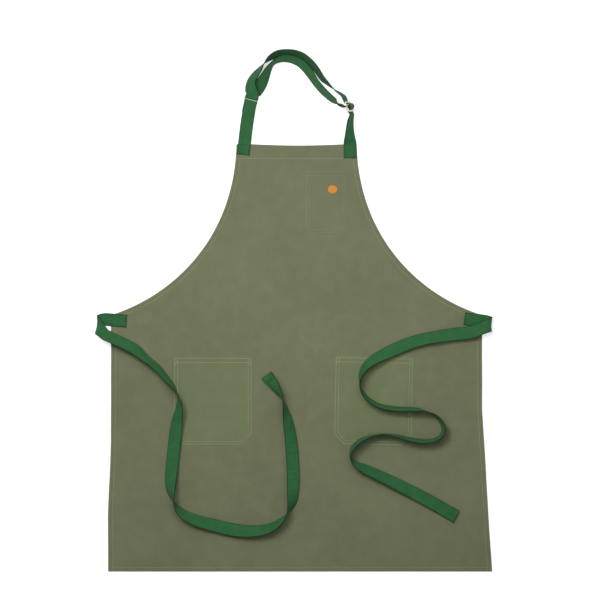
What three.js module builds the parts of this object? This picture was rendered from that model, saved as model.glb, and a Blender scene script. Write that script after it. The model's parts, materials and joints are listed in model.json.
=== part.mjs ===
// A bib apron laid on its back with its front up: X across, Y towards the neck, Z up, millimetres.
// The origin is in the middle of the whole outline, on the surface that the apron lies on.
// Canvas panel with turned-under hems, three patch pockets, an adjustable webbing neck loop
// (sewn tab, ring, strap and slider) and two webbing waist ties that lie folded over the front.
import * as THREE from 'three';

// ---- driving dimensions --------------------------------------------------------------------
const SKIRT_LENGTH = 499.5;     // waist corner to bottom edge
const BIB_HEIGHT = 333.2;       // waist corner to bib top
const LOOP_RISE = 182.1;        // bib top to the top of the neck loop, as it lies
const WAIST_WIDTH = 723;
const BIB_WIDTH = 234;
const HEM_FLARE_LEFT = 6;
const HEM_FLARE_RIGHT = 19.5;
const ARMHOLE_DROP = 180;       // how far the armhole runs down beside the bib before it turns
const ARMHOLE_REACH = 125;      // how far it runs in along the waist before it turns

const CLOTH = 0.6;
const HEM_TURN = 0.9;           // a hem's folded-under layers, pressed
const LAYER_GAP = 0.3;
const BIB_HEM = 29;
const ARMHOLE_HEM = 10;
const SIDE_HEM = 10;
const BOTTOM_HEM = 9;

const POCKET_WIDTH = 152;
const POCKET_HEIGHT = 172;
const POCKET_CORNER = 20;
const POCKET_DROP = 81;         // waist corner to pocket mouth
const POCKET_LEFT_X = -163;
const POCKET_RIGHT_X = 152;
const POCKET_RIGHT_TURN = -1.2; // degrees
const BIB_POCKET_WIDTH = 79;
const BIB_POCKET_HEIGHT = 122.5;
const BIB_POCKET_CORNER = 11;
const BIB_POCKET_X = 57;
const BIB_POCKET_DROP = 51.5;
const EMBLEM_RADIUS = 9.2;
const EMBLEM_THICK = 0.6;
const EMBLEM_FROM_EDGE = 26.5;  // emblem's middle to the pocket's outer edge
const EMBLEM_DROP = 36.5;       // emblem's middle to the pocket's mouth

const WEBBING_WIDTH = 25;
const WEBBING_THICK = 1.6;
const WEBBING_STEPS = 4;        // flat strips across the webbing's width, so that it can twist
const WEBBING_PLAY = 1.5;       // how much wider a ring or slider is inside than the webbing
const TAB_SEWN = 21;
const STRAP_SEWN = 27.5;
const TIE_TAB_LEFT = 31;         // sewn length inside the waist corner
const TIE_TAB_RIGHT = 35;

const RING_WIRE = 2.2;
const RING_CLEAR = 0.7;         // between the tab's turn and the strap's turn, inside the ring
const RING_TURN = -14;          // degrees
const RING_PLACE = [-88.2, 86.4];
const RING_SWING_ROOM = 1.3;
const SLIDER_BAR = 2.6;
const SLIDER_WINDOW = 6.5;
const SLIDER_THICK = 2;
const SLIDER_END = 3.6;         // width of the slider's two end members
const SLIDER_PLACE = [102.4, 71.8];
const SLIDER_HEADING = -66;     // degrees, the way the strap runs through it
const SLIDER_LEAN = 112;        // degrees, how far it stands up from lying flat
const SLIDER_STRAIGHT = 16;     // length of straight strap each side of the slider's middle
const CREST_ROOM = 1;           // between the strap and the sleeve that it passes over

// the tie's turn past the panel's edge: where it starts, which way out, and how far it slips sideways
const CURL_LEFT = { enter: [-15.5, -7.6], outward: 175, radius: 8, shift: -21 };
const CURL_RIGHT = { enter: [8.8, -12.2], outward: -7, radius: 6, shift: -5 };

// ---- places that follow from them ----------------------------------------------------------
const TOTAL_LENGTH = SKIRT_LENGTH + BIB_HEIGHT + LOOP_RISE;
const HEM_Y = -TOTAL_LENGTH / 2;
const WAIST_Y = HEM_Y + SKIRT_LENGTH;
const BIB_TOP_Y = WAIST_Y + BIB_HEIGHT;
const CENTRE_X = (HEM_FLARE_LEFT - HEM_FLARE_RIGHT) / 2;
const PANEL_BOTTOM = HEM_TURN + LAYER_GAP;
const PANEL_TOP = PANEL_BOTTOM + CLOTH;
const ON_PANEL = PANEL_TOP + LAYER_GAP;
const POCKET_TOP = ON_PANEL + CLOTH;
const ON_POCKET = POCKET_TOP + LAYER_GAP;
const HALF_WEB = WEBBING_WIDTH / 2;
const HALF_THICK = WEBBING_THICK / 2;
const LOOP_SPREAD = BIB_WIDTH / 234;  // the neck loop's feet stay on the bib's corners
const UP = new THREE.Vector3(0, 0, 1);

const canvas = () => new THREE.MeshStandardMaterial({ color: 0x6b7355, roughness: 0.92, metalness: 0 });
const canvasPocket = () => new THREE.MeshStandardMaterial({ color: 0x70795a, roughness: 0.92, metalness: 0 });
const webbing = () => new THREE.MeshStandardMaterial({ color: 0x2c6a3c, roughness: 0.85, metalness: 0 });
const metal = () => new THREE.MeshStandardMaterial({ color: 0xb5a98a, roughness: 0.35, metalness: 1 });
const embroidery = () => new THREE.MeshStandardMaterial({ color: 0xd9892b, roughness: 0.7, metalness: 0 });

const apron = new THREE.Group();

function add(name, geometry, material, parent = apron) {
  const mesh = new THREE.Mesh(geometry, material);
  mesh.name = name;
  parent.add(mesh);
  return mesh;
}

function flatSolid(shape, bottom, thickness, curveSegments = 20) {
  const geometry = new THREE.ExtrudeGeometry(shape, { depth: thickness, bevelEnabled: false, curveSegments });
  return geometry.translate(0, 0, bottom);
}

// ---- panel outline -------------------------------------------------------------------------
// side is -1 on the left and +1 on the right
function armhole(side) {
  const top = new THREE.Vector2(CENTRE_X + side * BIB_WIDTH / 2, BIB_TOP_Y);
  const waist = new THREE.Vector2(CENTRE_X + side * WAIST_WIDTH / 2, WAIST_Y);
  const belowTop = new THREE.Vector2(top.x + side * 4, top.y - ARMHOLE_DROP);
  const insideWaist = new THREE.Vector2(waist.x - side * ARMHOLE_REACH, waist.y + 40);
  return new THREE.CubicBezierCurve(top, belowTop, insideWaist, waist);
}

// the side edge hangs straight from the waist and then flares to the hem
function sideX(side, y) {
  const flare = side < 0 ? HEM_FLARE_LEFT : HEM_FLARE_RIGHT;
  const flareStart = side < 0 ? 0.49 : 0.37;
  const flareEnd = side < 0 ? 0.78 : 1;
  const down = (WAIST_Y - y) / SKIRT_LENGTH;
  const share = THREE.MathUtils.clamp((down - flareStart) / (flareEnd - flareStart), 0, 1);
  return CENTRE_X + side * (WAIST_WIDTH / 2 + flare * share);
}

function sideEdge(side, fromY, toY) {
  const steps = 8;
  return Array.from({ length: steps + 1 }, (_, i) => {
    const y = THREE.MathUtils.lerp(fromY, toY, i / steps);
    return new THREE.Vector2(sideX(side, y), y);
  });
}

function panelShape() {
  const left = armhole(-1).getPoints(20);
  const right = armhole(1).getPoints(20).reverse();
  const leftEdge = sideEdge(-1, WAIST_Y, HEM_Y).slice(1);
  const rightEdge = sideEdge(1, HEM_Y, WAIST_Y).slice(0, -1);
  return new THREE.Shape([...left, ...leftEdge, ...rightEdge, ...right]);
}

// a strip of the given width that runs along an edge, inside it
function strip(edge, width, inside) {
  const inner = edge.map((point, i) => {
    const before = edge[Math.max(i - 1, 0)];
    const after = edge[Math.min(i + 1, edge.length - 1)];
    const along = after.clone().sub(before).normalize();
    return new THREE.Vector2(point.x - inside * along.y * width, point.y + inside * along.x * width);
  });
  return new THREE.Shape([...edge, ...inner.reverse()]);
}

function addPanel() {
  add('main_panel', flatSolid(panelShape(), PANEL_BOTTOM, CLOTH), canvas());
  const bibHem = [
    new THREE.Vector2(CENTRE_X - BIB_WIDTH / 2, BIB_TOP_Y),
    new THREE.Vector2(CENTRE_X + BIB_WIDTH / 2, BIB_TOP_Y),
  ];
  add('bib_hem', flatSolid(strip(bibHem, BIB_HEM, -1), 0, HEM_TURN), canvas());
  const bottomHem = [
    new THREE.Vector2(sideX(-1, HEM_Y), HEM_Y),
    new THREE.Vector2(sideX(1, HEM_Y), HEM_Y),
  ];
  add('bottom_hem', flatSolid(strip(bottomHem, BOTTOM_HEM, 1), 0, HEM_TURN), canvas());
  for (const [side, word] of [[-1, 'left'], [1, 'right']]) {
    const below = BIB_TOP_Y - BIB_HEM - 1;
    const curve = armhole(side).getPoints(30).filter((point) => point.y < below);
    add(`armhole_hem_${word}`, flatSolid(strip(curve, ARMHOLE_HEM, -side), 0, HEM_TURN), canvas());
    const edge = sideEdge(side, WAIST_Y - ARMHOLE_HEM * 1.3, HEM_Y + BOTTOM_HEM + 1);
    add(`side_hem_${word}`, flatSolid(strip(edge, SIDE_HEM, -side), 0, HEM_TURN), canvas());
  }
}

// ---- pockets -------------------------------------------------------------------------------
// origin in the middle of the pocket's mouth, with its two lower corners cut off
function pocketShape(width, height, corner) {
  const half = width / 2;
  return new THREE.Shape([
    new THREE.Vector2(-half, 0),
    new THREE.Vector2(-half, corner - height),
    new THREE.Vector2(corner - half, -height),
    new THREE.Vector2(half - corner, -height),
    new THREE.Vector2(half, corner - height),
    new THREE.Vector2(half, 0),
  ]);
}

function addPockets() {
  const places = [['pocket_left', POCKET_LEFT_X, 0], ['pocket_right', POCKET_RIGHT_X, POCKET_RIGHT_TURN]];
  for (const [name, x, turn] of places) {
    const shape = pocketShape(POCKET_WIDTH, POCKET_HEIGHT, POCKET_CORNER);
    const pocket = add(name, flatSolid(shape, 0, CLOTH), canvasPocket());
    pocket.position.set(CENTRE_X + x, WAIST_Y - POCKET_DROP, ON_PANEL);
    pocket.rotation.z = THREE.MathUtils.degToRad(turn);
  }
  const bibPocketShape = pocketShape(BIB_POCKET_WIDTH, BIB_POCKET_HEIGHT, BIB_POCKET_CORNER);
  const bibPocket = add('bib_pocket', flatSolid(bibPocketShape, 0, CLOTH), canvasPocket());
  bibPocket.position.set(CENTRE_X + BIB_POCKET_X, BIB_TOP_Y - BIB_POCKET_DROP, ON_PANEL);
  const disc = new THREE.CylinderGeometry(EMBLEM_RADIUS, EMBLEM_RADIUS, EMBLEM_THICK, 24);
  const emblem = add('emblem', disc.rotateX(Math.PI / 2), embroidery());
  emblem.position.copy(bibPocket.position);
  emblem.position.x += BIB_POCKET_WIDTH / 2 - EMBLEM_FROM_EDGE;
  emblem.position.y -= EMBLEM_DROP;
  emblem.position.z = ON_POCKET + EMBLEM_THICK / 2;
}

// ---- webbing -------------------------------------------------------------------------------
// A station is a point on the webbing's middle line and the direction across its width.
const station = (point, across) => ({ point, across });

// Stations from rows of x, y, lean and lift. Lean is the angle in degrees by which the width
// turns from lying flat, about the way the webbing runs; the webbing's lower edge is at
// base + lift.
function layOut(rows, origin, base, spread = 1) {
  const plan = rows.map(([x, y]) => new THREE.Vector3(origin.x + x * spread, origin.y + y, 0));
  const curve = new THREE.CatmullRomCurve3(plan);
  return rows.map(([, , lean, lift = 0], i) => {
    const along = curve.getTangent(i / (rows.length - 1));
    const turn = THREE.MathUtils.degToRad(lean);
    const leftOf = new THREE.Vector3().crossVectors(UP, along).normalize();
    const across = leftOf.multiplyScalar(Math.cos(turn)).addScaledVector(UP, Math.sin(turn));
    const rise = HALF_WEB * Math.abs(Math.sin(turn)) + HALF_THICK * Math.abs(Math.cos(turn));
    return station(plan[i].clone().setZ(base + lift + rise), across);
  });
}

// A box's far broad face is cut along the other diagonals, which pinches webbing that twists,
// so that face is cut again to match the near one.
function matchDiagonals(box) {
  const { start, count } = box.groups[5];
  const { index } = box;
  for (let i = start; i < start + count; i += 6) {
    const corners = [0, 1, 4, 5].map((k) => index.getX(i + k));
    [0, 1, 2, 0, 2, 3].forEach((corner, k) => index.setX(i + k, corners[corner]));
  }
}

// Where the webbing rolls over at a slant, its across direction isn't square to its path, and it
// reaches further along that direction to keep its width.
function ribbon(name, stations, stepsEach = 2) {
  const curve = new THREE.CatmullRomCurve3(stations.map((s) => s.point));
  const spans = stations.length - 1;
  const box = new THREE.BoxGeometry(1, WEBBING_WIDTH, WEBBING_THICK, spans * stepsEach,
    WEBBING_STEPS, 1);
  matchDiagonals(box);
  const places = box.attributes.position;
  const vertex = new THREE.Vector3();
  for (let i = 0; i < places.count; i += 1) {
    vertex.fromBufferAttribute(places, i);
    const share = THREE.MathUtils.clamp(vertex.x + 0.5, 0, 1);
    const span = Math.min(Math.floor(share * spans), spans - 1);
    const along = curve.getTangent(share);
    const across = stations[span].across.clone().lerp(stations[span + 1].across, share * spans - span);
    across.normalize();
    const out = new THREE.Vector3().crossVectors(along, across);
    const reach = vertex.y / out.length();
    const point = curve.getPoint(share).addScaledVector(across, reach)
      .addScaledVector(out.normalize(), vertex.z);
    places.setXYZ(i, point.x, point.y, point.z);
  }
  return add(name, box, webbing());
}

// a frame whose local x, y and z run along the three given directions
function placed(x, y, z, origin) {
  return new THREE.Matrix4().makeBasis(x, y, z).setPosition(origin);
}

const heading = (degrees) => {
  const angle = THREE.MathUtils.degToRad(degrees);
  return new THREE.Vector3(Math.cos(angle), Math.sin(angle), 0);
};

const NECK = new THREE.Vector3(CENTRE_X, BIB_TOP_Y, 0);
const neckPoint = ([x, y], z) => new THREE.Vector3(NECK.x + x * LOOP_SPREAD, NECK.y + y, z);

// ---- ring: a flat rectangular loop of square wire --------------------------------------------
const CORNER_REACH = RING_WIRE / 2 * Math.SQRT2;
const TAB_TURN = CORNER_REACH + LAYER_GAP + HALF_THICK;
const STRAP_TURN = CORNER_REACH + RING_SWING_ROOM + HALF_THICK;
const RING_SPACING = TAB_TURN + STRAP_TURN + WEBBING_THICK + RING_CLEAR; // between its long bars' middles
const RING_LIFT = 0.7;
const RING_Z = STRAP_TURN + HALF_THICK + RING_LIFT;
const RING_ALONG = heading(RING_TURN);
const RING_UP = heading(RING_TURN + 90);
const RING_CENTRE = neckPoint(RING_PLACE, RING_Z);
const ringPoint = (up, rise) => RING_CENTRE.clone().addScaledVector(RING_UP, up).addScaledVector(UP, rise);

function frameShape(width, height, holes) {
  const rectangle = (Type, x0, y0, x1, y1) => new Type([
    new THREE.Vector2(x0, y0), new THREE.Vector2(x1, y0), new THREE.Vector2(x1, y1), new THREE.Vector2(x0, y1),
  ]);
  const shape = rectangle(THREE.Shape, -width / 2, -height / 2, width / 2, height / 2);
  shape.holes = holes.map(([x0, y0, x1, y1]) => rectangle(THREE.Path, x0, y0, x1, y1));
  return shape;
}

function addRing() {
  const halfInside = (WEBBING_WIDTH + WEBBING_PLAY) / 2;
  const halfHole = (RING_SPACING - RING_WIRE) / 2;
  const hole = [-halfInside, -halfHole, halfInside, halfHole];
  const shape = frameShape(2 * (halfInside + RING_WIRE), RING_SPACING + RING_WIRE, [hole]);
  const geometry = flatSolid(shape, -RING_WIRE / 2, RING_WIRE);
  geometry.applyMatrix4(placed(RING_ALONG, RING_UP, UP, RING_CENTRE));
  add('neck_ring', geometry, metal());
}

// stations once round a bar, from above it to below it, the far side towards `side`
function aroundBar(middle, radius, side, across, straight) {
  const point = (out, rise) => middle.clone().addScaledVector(RING_UP, side * out).addScaledVector(UP, rise);
  const rows = [station(point(-straight, radius), across)];
  for (let i = 0; i <= 6; i += 1) {
    const turn = Math.PI * i / 6;
    rows.push(station(point(radius * Math.sin(turn), radius * Math.cos(turn)), across));
  }
  rows.push(station(point(-straight, -radius), across));
  return rows;
}

function addNeckTab() {
  const sewn = [[-104, -TAB_SEWN, 0], [-101.7, -0.6, 0]];
  ribbon('neck_tab_sewn_end', layOut(sewn, NECK, ON_PANEL, LOOP_SPREAD), 1);
  const free = layOut([[-101.6, 0.6, 0], [-100.6, 8, 0], [-97, 38, 0, 0.6], [-93.5, 60, 0, 2]], NECK, ON_PANEL,
    LOOP_SPREAD);
  const across = RING_ALONG.clone().negate();
  const turn = aroundBar(ringPoint(-RING_SPACING / 2, 0), TAB_TURN, 1, across, 6);
  const under = station(ringPoint(-RING_SPACING / 2 - 22, 1.6 - RING_Z), across);
  ribbon('neck_tab', [...free, ...turn, under]);
}

// ---- slider: a flat frame with two windows, standing on its long edge --------------------------
const SLIDER_T = heading(SLIDER_HEADING);
const SLIDER_N_FLAT = heading(SLIDER_HEADING + 90);
const leanAngle = THREE.MathUtils.degToRad(SLIDER_LEAN);
const SLIDER_S = SLIDER_N_FLAT.clone().multiplyScalar(Math.cos(leanAngle))
  .addScaledVector(UP, Math.sin(leanAngle));
const SLIDER_N = new THREE.Vector3().crossVectors(SLIDER_S, SLIDER_T);
const SLIDER_LENGTH = WEBBING_WIDTH + WEBBING_PLAY + 2 * SLIDER_END;
const SLIDER_HEIGHT = 3 * SLIDER_BAR + 2 * SLIDER_WINDOW;
const SLIDER_Z = SLIDER_LENGTH / 2 * SLIDER_S.z + SLIDER_THICK / 2 * SLIDER_N.z + LAYER_GAP;
const SLIDER_CENTRE = neckPoint(SLIDER_PLACE, SLIDER_Z);
const STRAP_BEHIND = SLIDER_THICK / 2 + LAYER_GAP + HALF_THICK;
const SLEEVE_ALONG = SLIDER_BAR / 2 + LAYER_GAP + WEBBING_THICK;
const SLEEVE_OUT = SLIDER_THICK / 2 + LAYER_GAP + WEBBING_THICK;
const sliderPoint = (along, out) => SLIDER_CENTRE.clone()
  .addScaledVector(SLIDER_T, along).addScaledVector(SLIDER_N, out);
const sliderStation = ([along, out]) => station(sliderPoint(along, out), SLIDER_S);

function addSlider() {
  const halfInside = (WEBBING_WIDTH + WEBBING_PLAY) / 2;
  const near = SLIDER_BAR / 2;
  const far = near + SLIDER_WINDOW;
  const holes = [[-halfInside, near, halfInside, far], [-halfInside, -far, halfInside, -near]];
  const geometry = flatSolid(frameShape(SLIDER_LENGTH, SLIDER_HEIGHT, holes), -SLIDER_THICK / 2, SLIDER_THICK);
  geometry.applyMatrix4(placed(SLIDER_S, SLIDER_T, SLIDER_N, SLIDER_CENTRE));
  add('slider', geometry, metal());

  // the strap's sewn end, a sleeve round the middle bar
  const insideAlong = SLEEVE_ALONG - WEBBING_THICK;
  const insideOut = SLEEVE_OUT - WEBBING_THICK;
  const sleeve = frameShape(2 * SLEEVE_ALONG, 2 * SLEEVE_OUT, [[-insideAlong, -insideOut, insideAlong, insideOut]]);
  const sleeveSolid = flatSolid(sleeve, -HALF_WEB, WEBBING_WIDTH);
  sleeveSolid.applyMatrix4(placed(SLIDER_T, SLIDER_N, SLIDER_S, SLIDER_CENTRE));
  add('strap_end_sleeve', sleeveSolid, webbing());
}

// ---- neck strap ------------------------------------------------------------------------------
// from the ring, over the top and down to the slider: x, y, lean, lift
const OUTER_RUN = [
  [-88, 104, 160, 5.5], [-89, 114, 142, 3.5], [-86.5, 124, 132, 1.5], [-80, 134, 127, 0.5], [-72, 144, 117, 0],
  [-63, 156, 96, 0], [-52, 166, 76, 0], [-36, 174, 64, 0], [-13, 176, 64, 0], [7, 171.5, 64, 0], [21, 163, 66, 0],
  [33, 151, 67, 0], [42.5, 138, 69, 0], [50.5, 126, 74, 0], [59.5, 117.5, 82, 0.2], [68, 109.5, 92, 0.8],
  [76.5, 102.5, 101, 1.8], [84.5, 97, 107, 2.8],
];
// the shorter run inside it, from the ring to just before the slider
const INNER_RUN = [
  [-78.5, 104, 3, 2.2], [-69, 117, 24, 1.2], [-61, 131, 48, 0.2], [-54, 145, 66, 0.2], [-46, 156, 80, 0.2],
  [-36, 163, 71, 0.2], [-22, 166, 63, 0.2], [-7, 163.5, 60, 0.2], [7, 157, 56, 0.2], [19, 146, 54, 0.2],
  [29, 132, 58, 0.2], [39, 117, 63, 0.2], [52, 102, 64, 0.2], [64, 90.5, 68, 0.5], [75, 82, 76, 1.5],
];
// from the slider down to the bib's edge
const LEG = [[108, 36, 132, 2.8], [105, 20, 155, 2], [104.3, 8, 174, 1.2], [104.2, 0.6, 180, ON_PANEL]];
// the way up through a window to the crest over the middle bar and its sleeve: how far outside the
// place where the strap just passes the sleeve, and how far up as a share of the crest
const PASS = SLEEVE_ALONG + LAYER_GAP + HALF_THICK;
const CREST = STRAP_BEHIND + SLEEVE_OUT + LAYER_GAP + HALF_THICK + CREST_ROOM;
const OVER_BAR = [[2.7, 0], [1.5, 0.17], [0.8, 0.42], [0.3, 0.73], [-1.3, 0.96], [-PASS, 1]]
  .map(([outside, share]) => [-PASS - outside, share * CREST]);
// and from the inner run's last bend to the sleeve: first level with the slider's middle, then square to it
const INNER_END_LEVEL = [[-12, -15.8], [-6, -11.5]];
const INNER_END_SQUARE = [[-2.2, -SLEEVE_OUT - 4.7], [-1.6, -SLEEVE_OUT - 1.3]];
const INNER_END_DROP = 2.2;

function addNeckStrap() {
  const behind = -STRAP_BEHIND;
  const half = RING_SPACING / 2;
  const strapEnd = 8 - half;
  const turn = aroundBar(ringPoint(half, 0), STRAP_TURN, -1, RING_ALONG, strapEnd - 3 * LAYER_GAP);
  ribbon('neck_strap_turn', turn);

  const fromRing = (rise, across) => [2 * LAYER_GAP, 3]
    .map((on) => station(ringPoint(half + strapEnd + on, rise), across));
  const outer = [
    ...fromRing(STRAP_TURN, RING_ALONG),
    ...layOut(OUTER_RUN, NECK, LAYER_GAP, LOOP_SPREAD),
    ...[-SLIDER_STRAIGHT - 7, -SLIDER_STRAIGHT].map((along) => sliderStation([along, behind])),
  ];
  ribbon('neck_strap_outer', outer);

  const rise = OVER_BAR.map(([along, out]) => [along, behind + out]);
  const fall = rise.slice(0, -1).reverse().map(([along, out]) => [-along, out]);
  const end = SLIDER_STRAIGHT - LAYER_GAP;
  ribbon('neck_strap_over_bar', [[-end, behind], [-11, behind], ...rise, ...fall, [11, behind], [end, behind]]
    .map(sliderStation), 1);

  const leg = [
    ...[SLIDER_STRAIGHT, SLIDER_STRAIGHT + 6].map((along) => sliderStation([along, behind])),
    ...layOut(LEG, NECK, 0, LOOP_SPREAD),
  ];
  ribbon('neck_strap_leg', leg);
  const sewn = [[104.2, -0.6, 0], [104.6, -STRAP_SEWN, 0]];
  ribbon('neck_strap_sewn_end', layOut(sewn, NECK, ON_PANEL, LOOP_SPREAD), 1);

  const flatAcross = RING_ALONG.clone().negate();
  const laid = layOut(INNER_RUN, NECK, 0, LOOP_SPREAD);
  ribbon('neck_strap_inner', [...fromRing(-STRAP_TURN, flatAcross), ...laid]);
  const last = laid[laid.length - 1];
  const before = laid[laid.length - 2];
  const onward = last.point.clone().sub(before.point).normalize();
  const tail = [2 * LAYER_GAP, 3]
    .map((on) => station(last.point.clone().addScaledVector(onward, on), last.across));
  for (const [along, out] of INNER_END_LEVEL) {
    const point = SLIDER_CENTRE.clone().addScaledVector(SLIDER_T, along).addScaledVector(SLIDER_N_FLAT, out);
    point.z -= INNER_END_DROP;
    tail.push(station(point, SLIDER_S));
  }
  ribbon('neck_strap_inner_end', [...tail, ...INNER_END_SQUARE.map(sliderStation)]);
}

// ---- waist ties --------------------------------------------------------------------------------
// each from its curl at the panel's edge to its free end: x, y from the waist corner, lean, lift
const TIE_LEFT = [
  [2, -43, -34, 7.5], [25, -54, -38, 4.5], [49, -67, -38, 1.5], [70, -85, -58], [92, -103, -62], [109, -123, -67],
  [123, -140, -80], [132, -158, -100], [134, -177, -123], [131, -197, -140], [128, -216, -158], [125, -243, -171],
  [121, -277, -171], [118, -310, -160], [117, -333, -145], [119, -350, -120], [123.5, -364, -93], [133, -378, -64],
  [148, -390, -48], [174, -401, -34], [203, -409, -22], [236, -417, -20], [265, -419.5, -30], [292, -418, -43],
  [316, -410, -58], [333, -398, -74], [345, -383, -97], [352, -366, -130], [355, -343, -155], [355, -306, -170],
  [353, -267, -168], [350, -236, -152], [345, -206, -138], [340, -183, -112], [335, -166, -90], [327, -150, -60],
  [316, -134, -36], [304, -117, -20],
];
const TIE_RIGHT = [
  [-4, -26, 12, 8], [-27, -34, 8, 7], [-53, -37, 6, 5], [-101, -44, 22, 1.5], [-131, -51, 20, 0.5], [-160, -62, 16],
  [-189, -75, 30], [-214, -88, 45], [-230, -103, 62], [-238, -120, 80], [-238, -138, 96], [-230, -155, 104],
  [-216, -168, 107], [-193, -178, 107], [-164, -182, 107], [-135, -182.5, 104], [-111, -186, 92], [-92, -195, 80],
  [-79, -210, 76], [-76.5, -227, 80], [-89, -240, 80], [-114, -244.5, 76], [-142, -241, 76], [-168, -234, 82],
  [-193, -231, 90], [-218, -235, 86], [-241, -246, 78], [-254.5, -261, 80], [-257, -275, 92], [-249, -287, 110],
  [-230, -298, 130], [-193, -315, 142], [-144, -340, 158], [-101, -363, 168], [-52, -391, 172],
];

function addTie(word, side, curl, sewn, tieRows) {
  const corner = new THREE.Vector3(CENTRE_X + side * WAIST_WIDTH / 2, WAIST_Y, 0);
  const outward = heading(curl.outward);
  const across = new THREE.Vector3().crossVectors(outward, UP);
  const enter = new THREE.Vector3(corner.x + curl.enter[0], corner.y + curl.enter[1], ON_PANEL + HALF_THICK);
  const inside = (length) => station(enter.clone().addScaledVector(outward, -length), across);
  const edge = Math.abs(curl.enter[0]);
  ribbon(`tie_tab_${word}`, [inside(edge + sewn), inside(edge + LAYER_GAP)], 1);

  const tie = layOut(tieRows, corner, ON_POCKET + LAYER_GAP);
  const rows = [inside(edge), inside(edge / 2)];
  const turns = 8;
  for (let i = 0; i <= turns; i += 1) {
    const turn = Math.PI * i / turns;
    const point = enter.clone().addScaledVector(outward, curl.radius * Math.sin(turn));
    point.y += curl.shift * THREE.MathUtils.smoothstep(i / turns, 0.36, 1);
    point.z += curl.radius * (1 - Math.cos(turn));
    rows.push(station(point, across));
  }
  const first = tie[0];
  const into = tie[1].point.clone().sub(first.point).normalize();
  for (const back of [4, 2 * LAYER_GAP]) {
    rows.push(station(first.point.clone().addScaledVector(into, -back), first.across));
  }
  ribbon(`tie_curl_${word}`, rows);
  ribbon(`waist_tie_${word}`, tie);
}

addPanel();
addPockets();
addRing();
addNeckTab();
addSlider();
addNeckStrap();
addTie('left', -1, CURL_LEFT, TIE_TAB_LEFT, TIE_LEFT);
addTie('right', 1, CURL_RIGHT, TIE_TAB_RIGHT, TIE_RIGHT);

export default apron;
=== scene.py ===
"""A bib apron laid flat with its front up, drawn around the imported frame.

The cloth, webbing, metal and thread are each modelled as what they are. Lengths in this file are in
millimetres, and a finished mesh is scaled to metres in the last step, when it becomes an object.
"""

from __future__ import annotations

import json
import logging
import math
from collections.abc import Callable, Sequence
from dataclasses import dataclass
from enum import Enum

import bmesh
import bpy
from mathutils import Matrix, Vector, noise

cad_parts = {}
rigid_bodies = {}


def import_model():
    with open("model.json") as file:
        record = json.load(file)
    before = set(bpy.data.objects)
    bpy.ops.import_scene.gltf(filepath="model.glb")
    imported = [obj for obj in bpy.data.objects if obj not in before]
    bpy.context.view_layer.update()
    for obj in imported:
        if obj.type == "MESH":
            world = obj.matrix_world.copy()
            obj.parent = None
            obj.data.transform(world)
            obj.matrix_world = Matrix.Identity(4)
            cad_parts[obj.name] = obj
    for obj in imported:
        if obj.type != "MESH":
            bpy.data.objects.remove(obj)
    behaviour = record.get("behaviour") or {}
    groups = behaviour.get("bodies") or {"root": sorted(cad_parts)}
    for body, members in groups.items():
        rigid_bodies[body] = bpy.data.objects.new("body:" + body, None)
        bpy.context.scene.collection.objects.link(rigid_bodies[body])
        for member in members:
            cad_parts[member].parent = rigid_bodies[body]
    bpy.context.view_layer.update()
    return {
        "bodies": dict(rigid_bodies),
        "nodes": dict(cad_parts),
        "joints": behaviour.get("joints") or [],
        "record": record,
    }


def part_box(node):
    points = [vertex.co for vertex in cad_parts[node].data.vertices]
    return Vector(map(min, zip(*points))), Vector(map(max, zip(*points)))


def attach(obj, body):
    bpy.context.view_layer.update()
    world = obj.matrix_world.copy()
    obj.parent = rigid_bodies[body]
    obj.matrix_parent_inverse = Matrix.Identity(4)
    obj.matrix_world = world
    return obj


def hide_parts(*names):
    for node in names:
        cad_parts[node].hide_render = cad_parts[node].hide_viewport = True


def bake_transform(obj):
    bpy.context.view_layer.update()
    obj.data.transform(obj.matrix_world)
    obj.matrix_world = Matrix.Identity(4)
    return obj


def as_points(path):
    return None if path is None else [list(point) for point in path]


LOG = logging.getLogger("apron")
MM = 0.001
UP = Vector((0, 0, 1))
APRON = "apron_body"

CLOTH = 0.6
WEBBING_WIDTH = 25.0
WEBBING_THICK = 1.6
LAYER_GAP = 0.3
PANEL_MIDDLE = 1.5
ON_PANEL = 2.1
ON_POCKET = 3.0
HALF_WEB = WEBBING_WIDTH / 2
HALF_THICK = WEBBING_THICK / 2

Value = bpy.types.NodeSocket | float | tuple[float, ...]
Colour = tuple[float, float, float, float]


class Side(Enum):
    """The two sides of the apron as it is seen from its front."""

    LEFT = -1
    RIGHT = 1

    @property
    def word(self) -> str:
        """The side's name, as pieces use it."""
        return self.name.lower()


class Slot(Enum):
    """The record's material slots."""

    CANVAS = "canvas"
    POCKET = "pocket_canvas"
    WEBBING = "webbing"
    HARDWARE = "hardware"
    EMBROIDERY = "embroidery"


# ---- measures ------------------------------------------------------------------------------------


def mix(a: float, b: float, share: float) -> float:
    """The value that lies a share of the way from a to b."""
    return a + (b - a) * share


def smooth(low: float, high: float, value: float) -> float:
    """Runs smoothly from 0 at low to 1 at high."""
    share = min(max((value - low) / (high - low), 0.0), 1.0)
    return share * share * (3 - 2 * share)


def dip(distance: float, width: float) -> float:
    """A bell-shaped share: 1 at no distance, and near 0 past the width."""
    return math.exp(-((distance / width) ** 2) * 2)


def heading(degrees: float) -> Vector:
    """A flat direction, anticlockwise from +X."""
    return Vector((math.cos(math.radians(degrees)), math.sin(math.radians(degrees)), 0))


def lie(x: float, y: float) -> float:
    """How far the laid cloth rises or sinks at a place, so that all that is sewn to it agrees.

    Args:
        x: Place across the apron.
        y: Place along the apron.

    Returns:
        The rise in millimetres, never more than the room under the loose webbing.
    """
    slow = noise.noise(Vector((x / 150, y / 190, 3.1)))
    quick = noise.noise(Vector((x / 52, y / 80, 7.7)))
    return 0.26 * slow + 0.1 * quick


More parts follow.
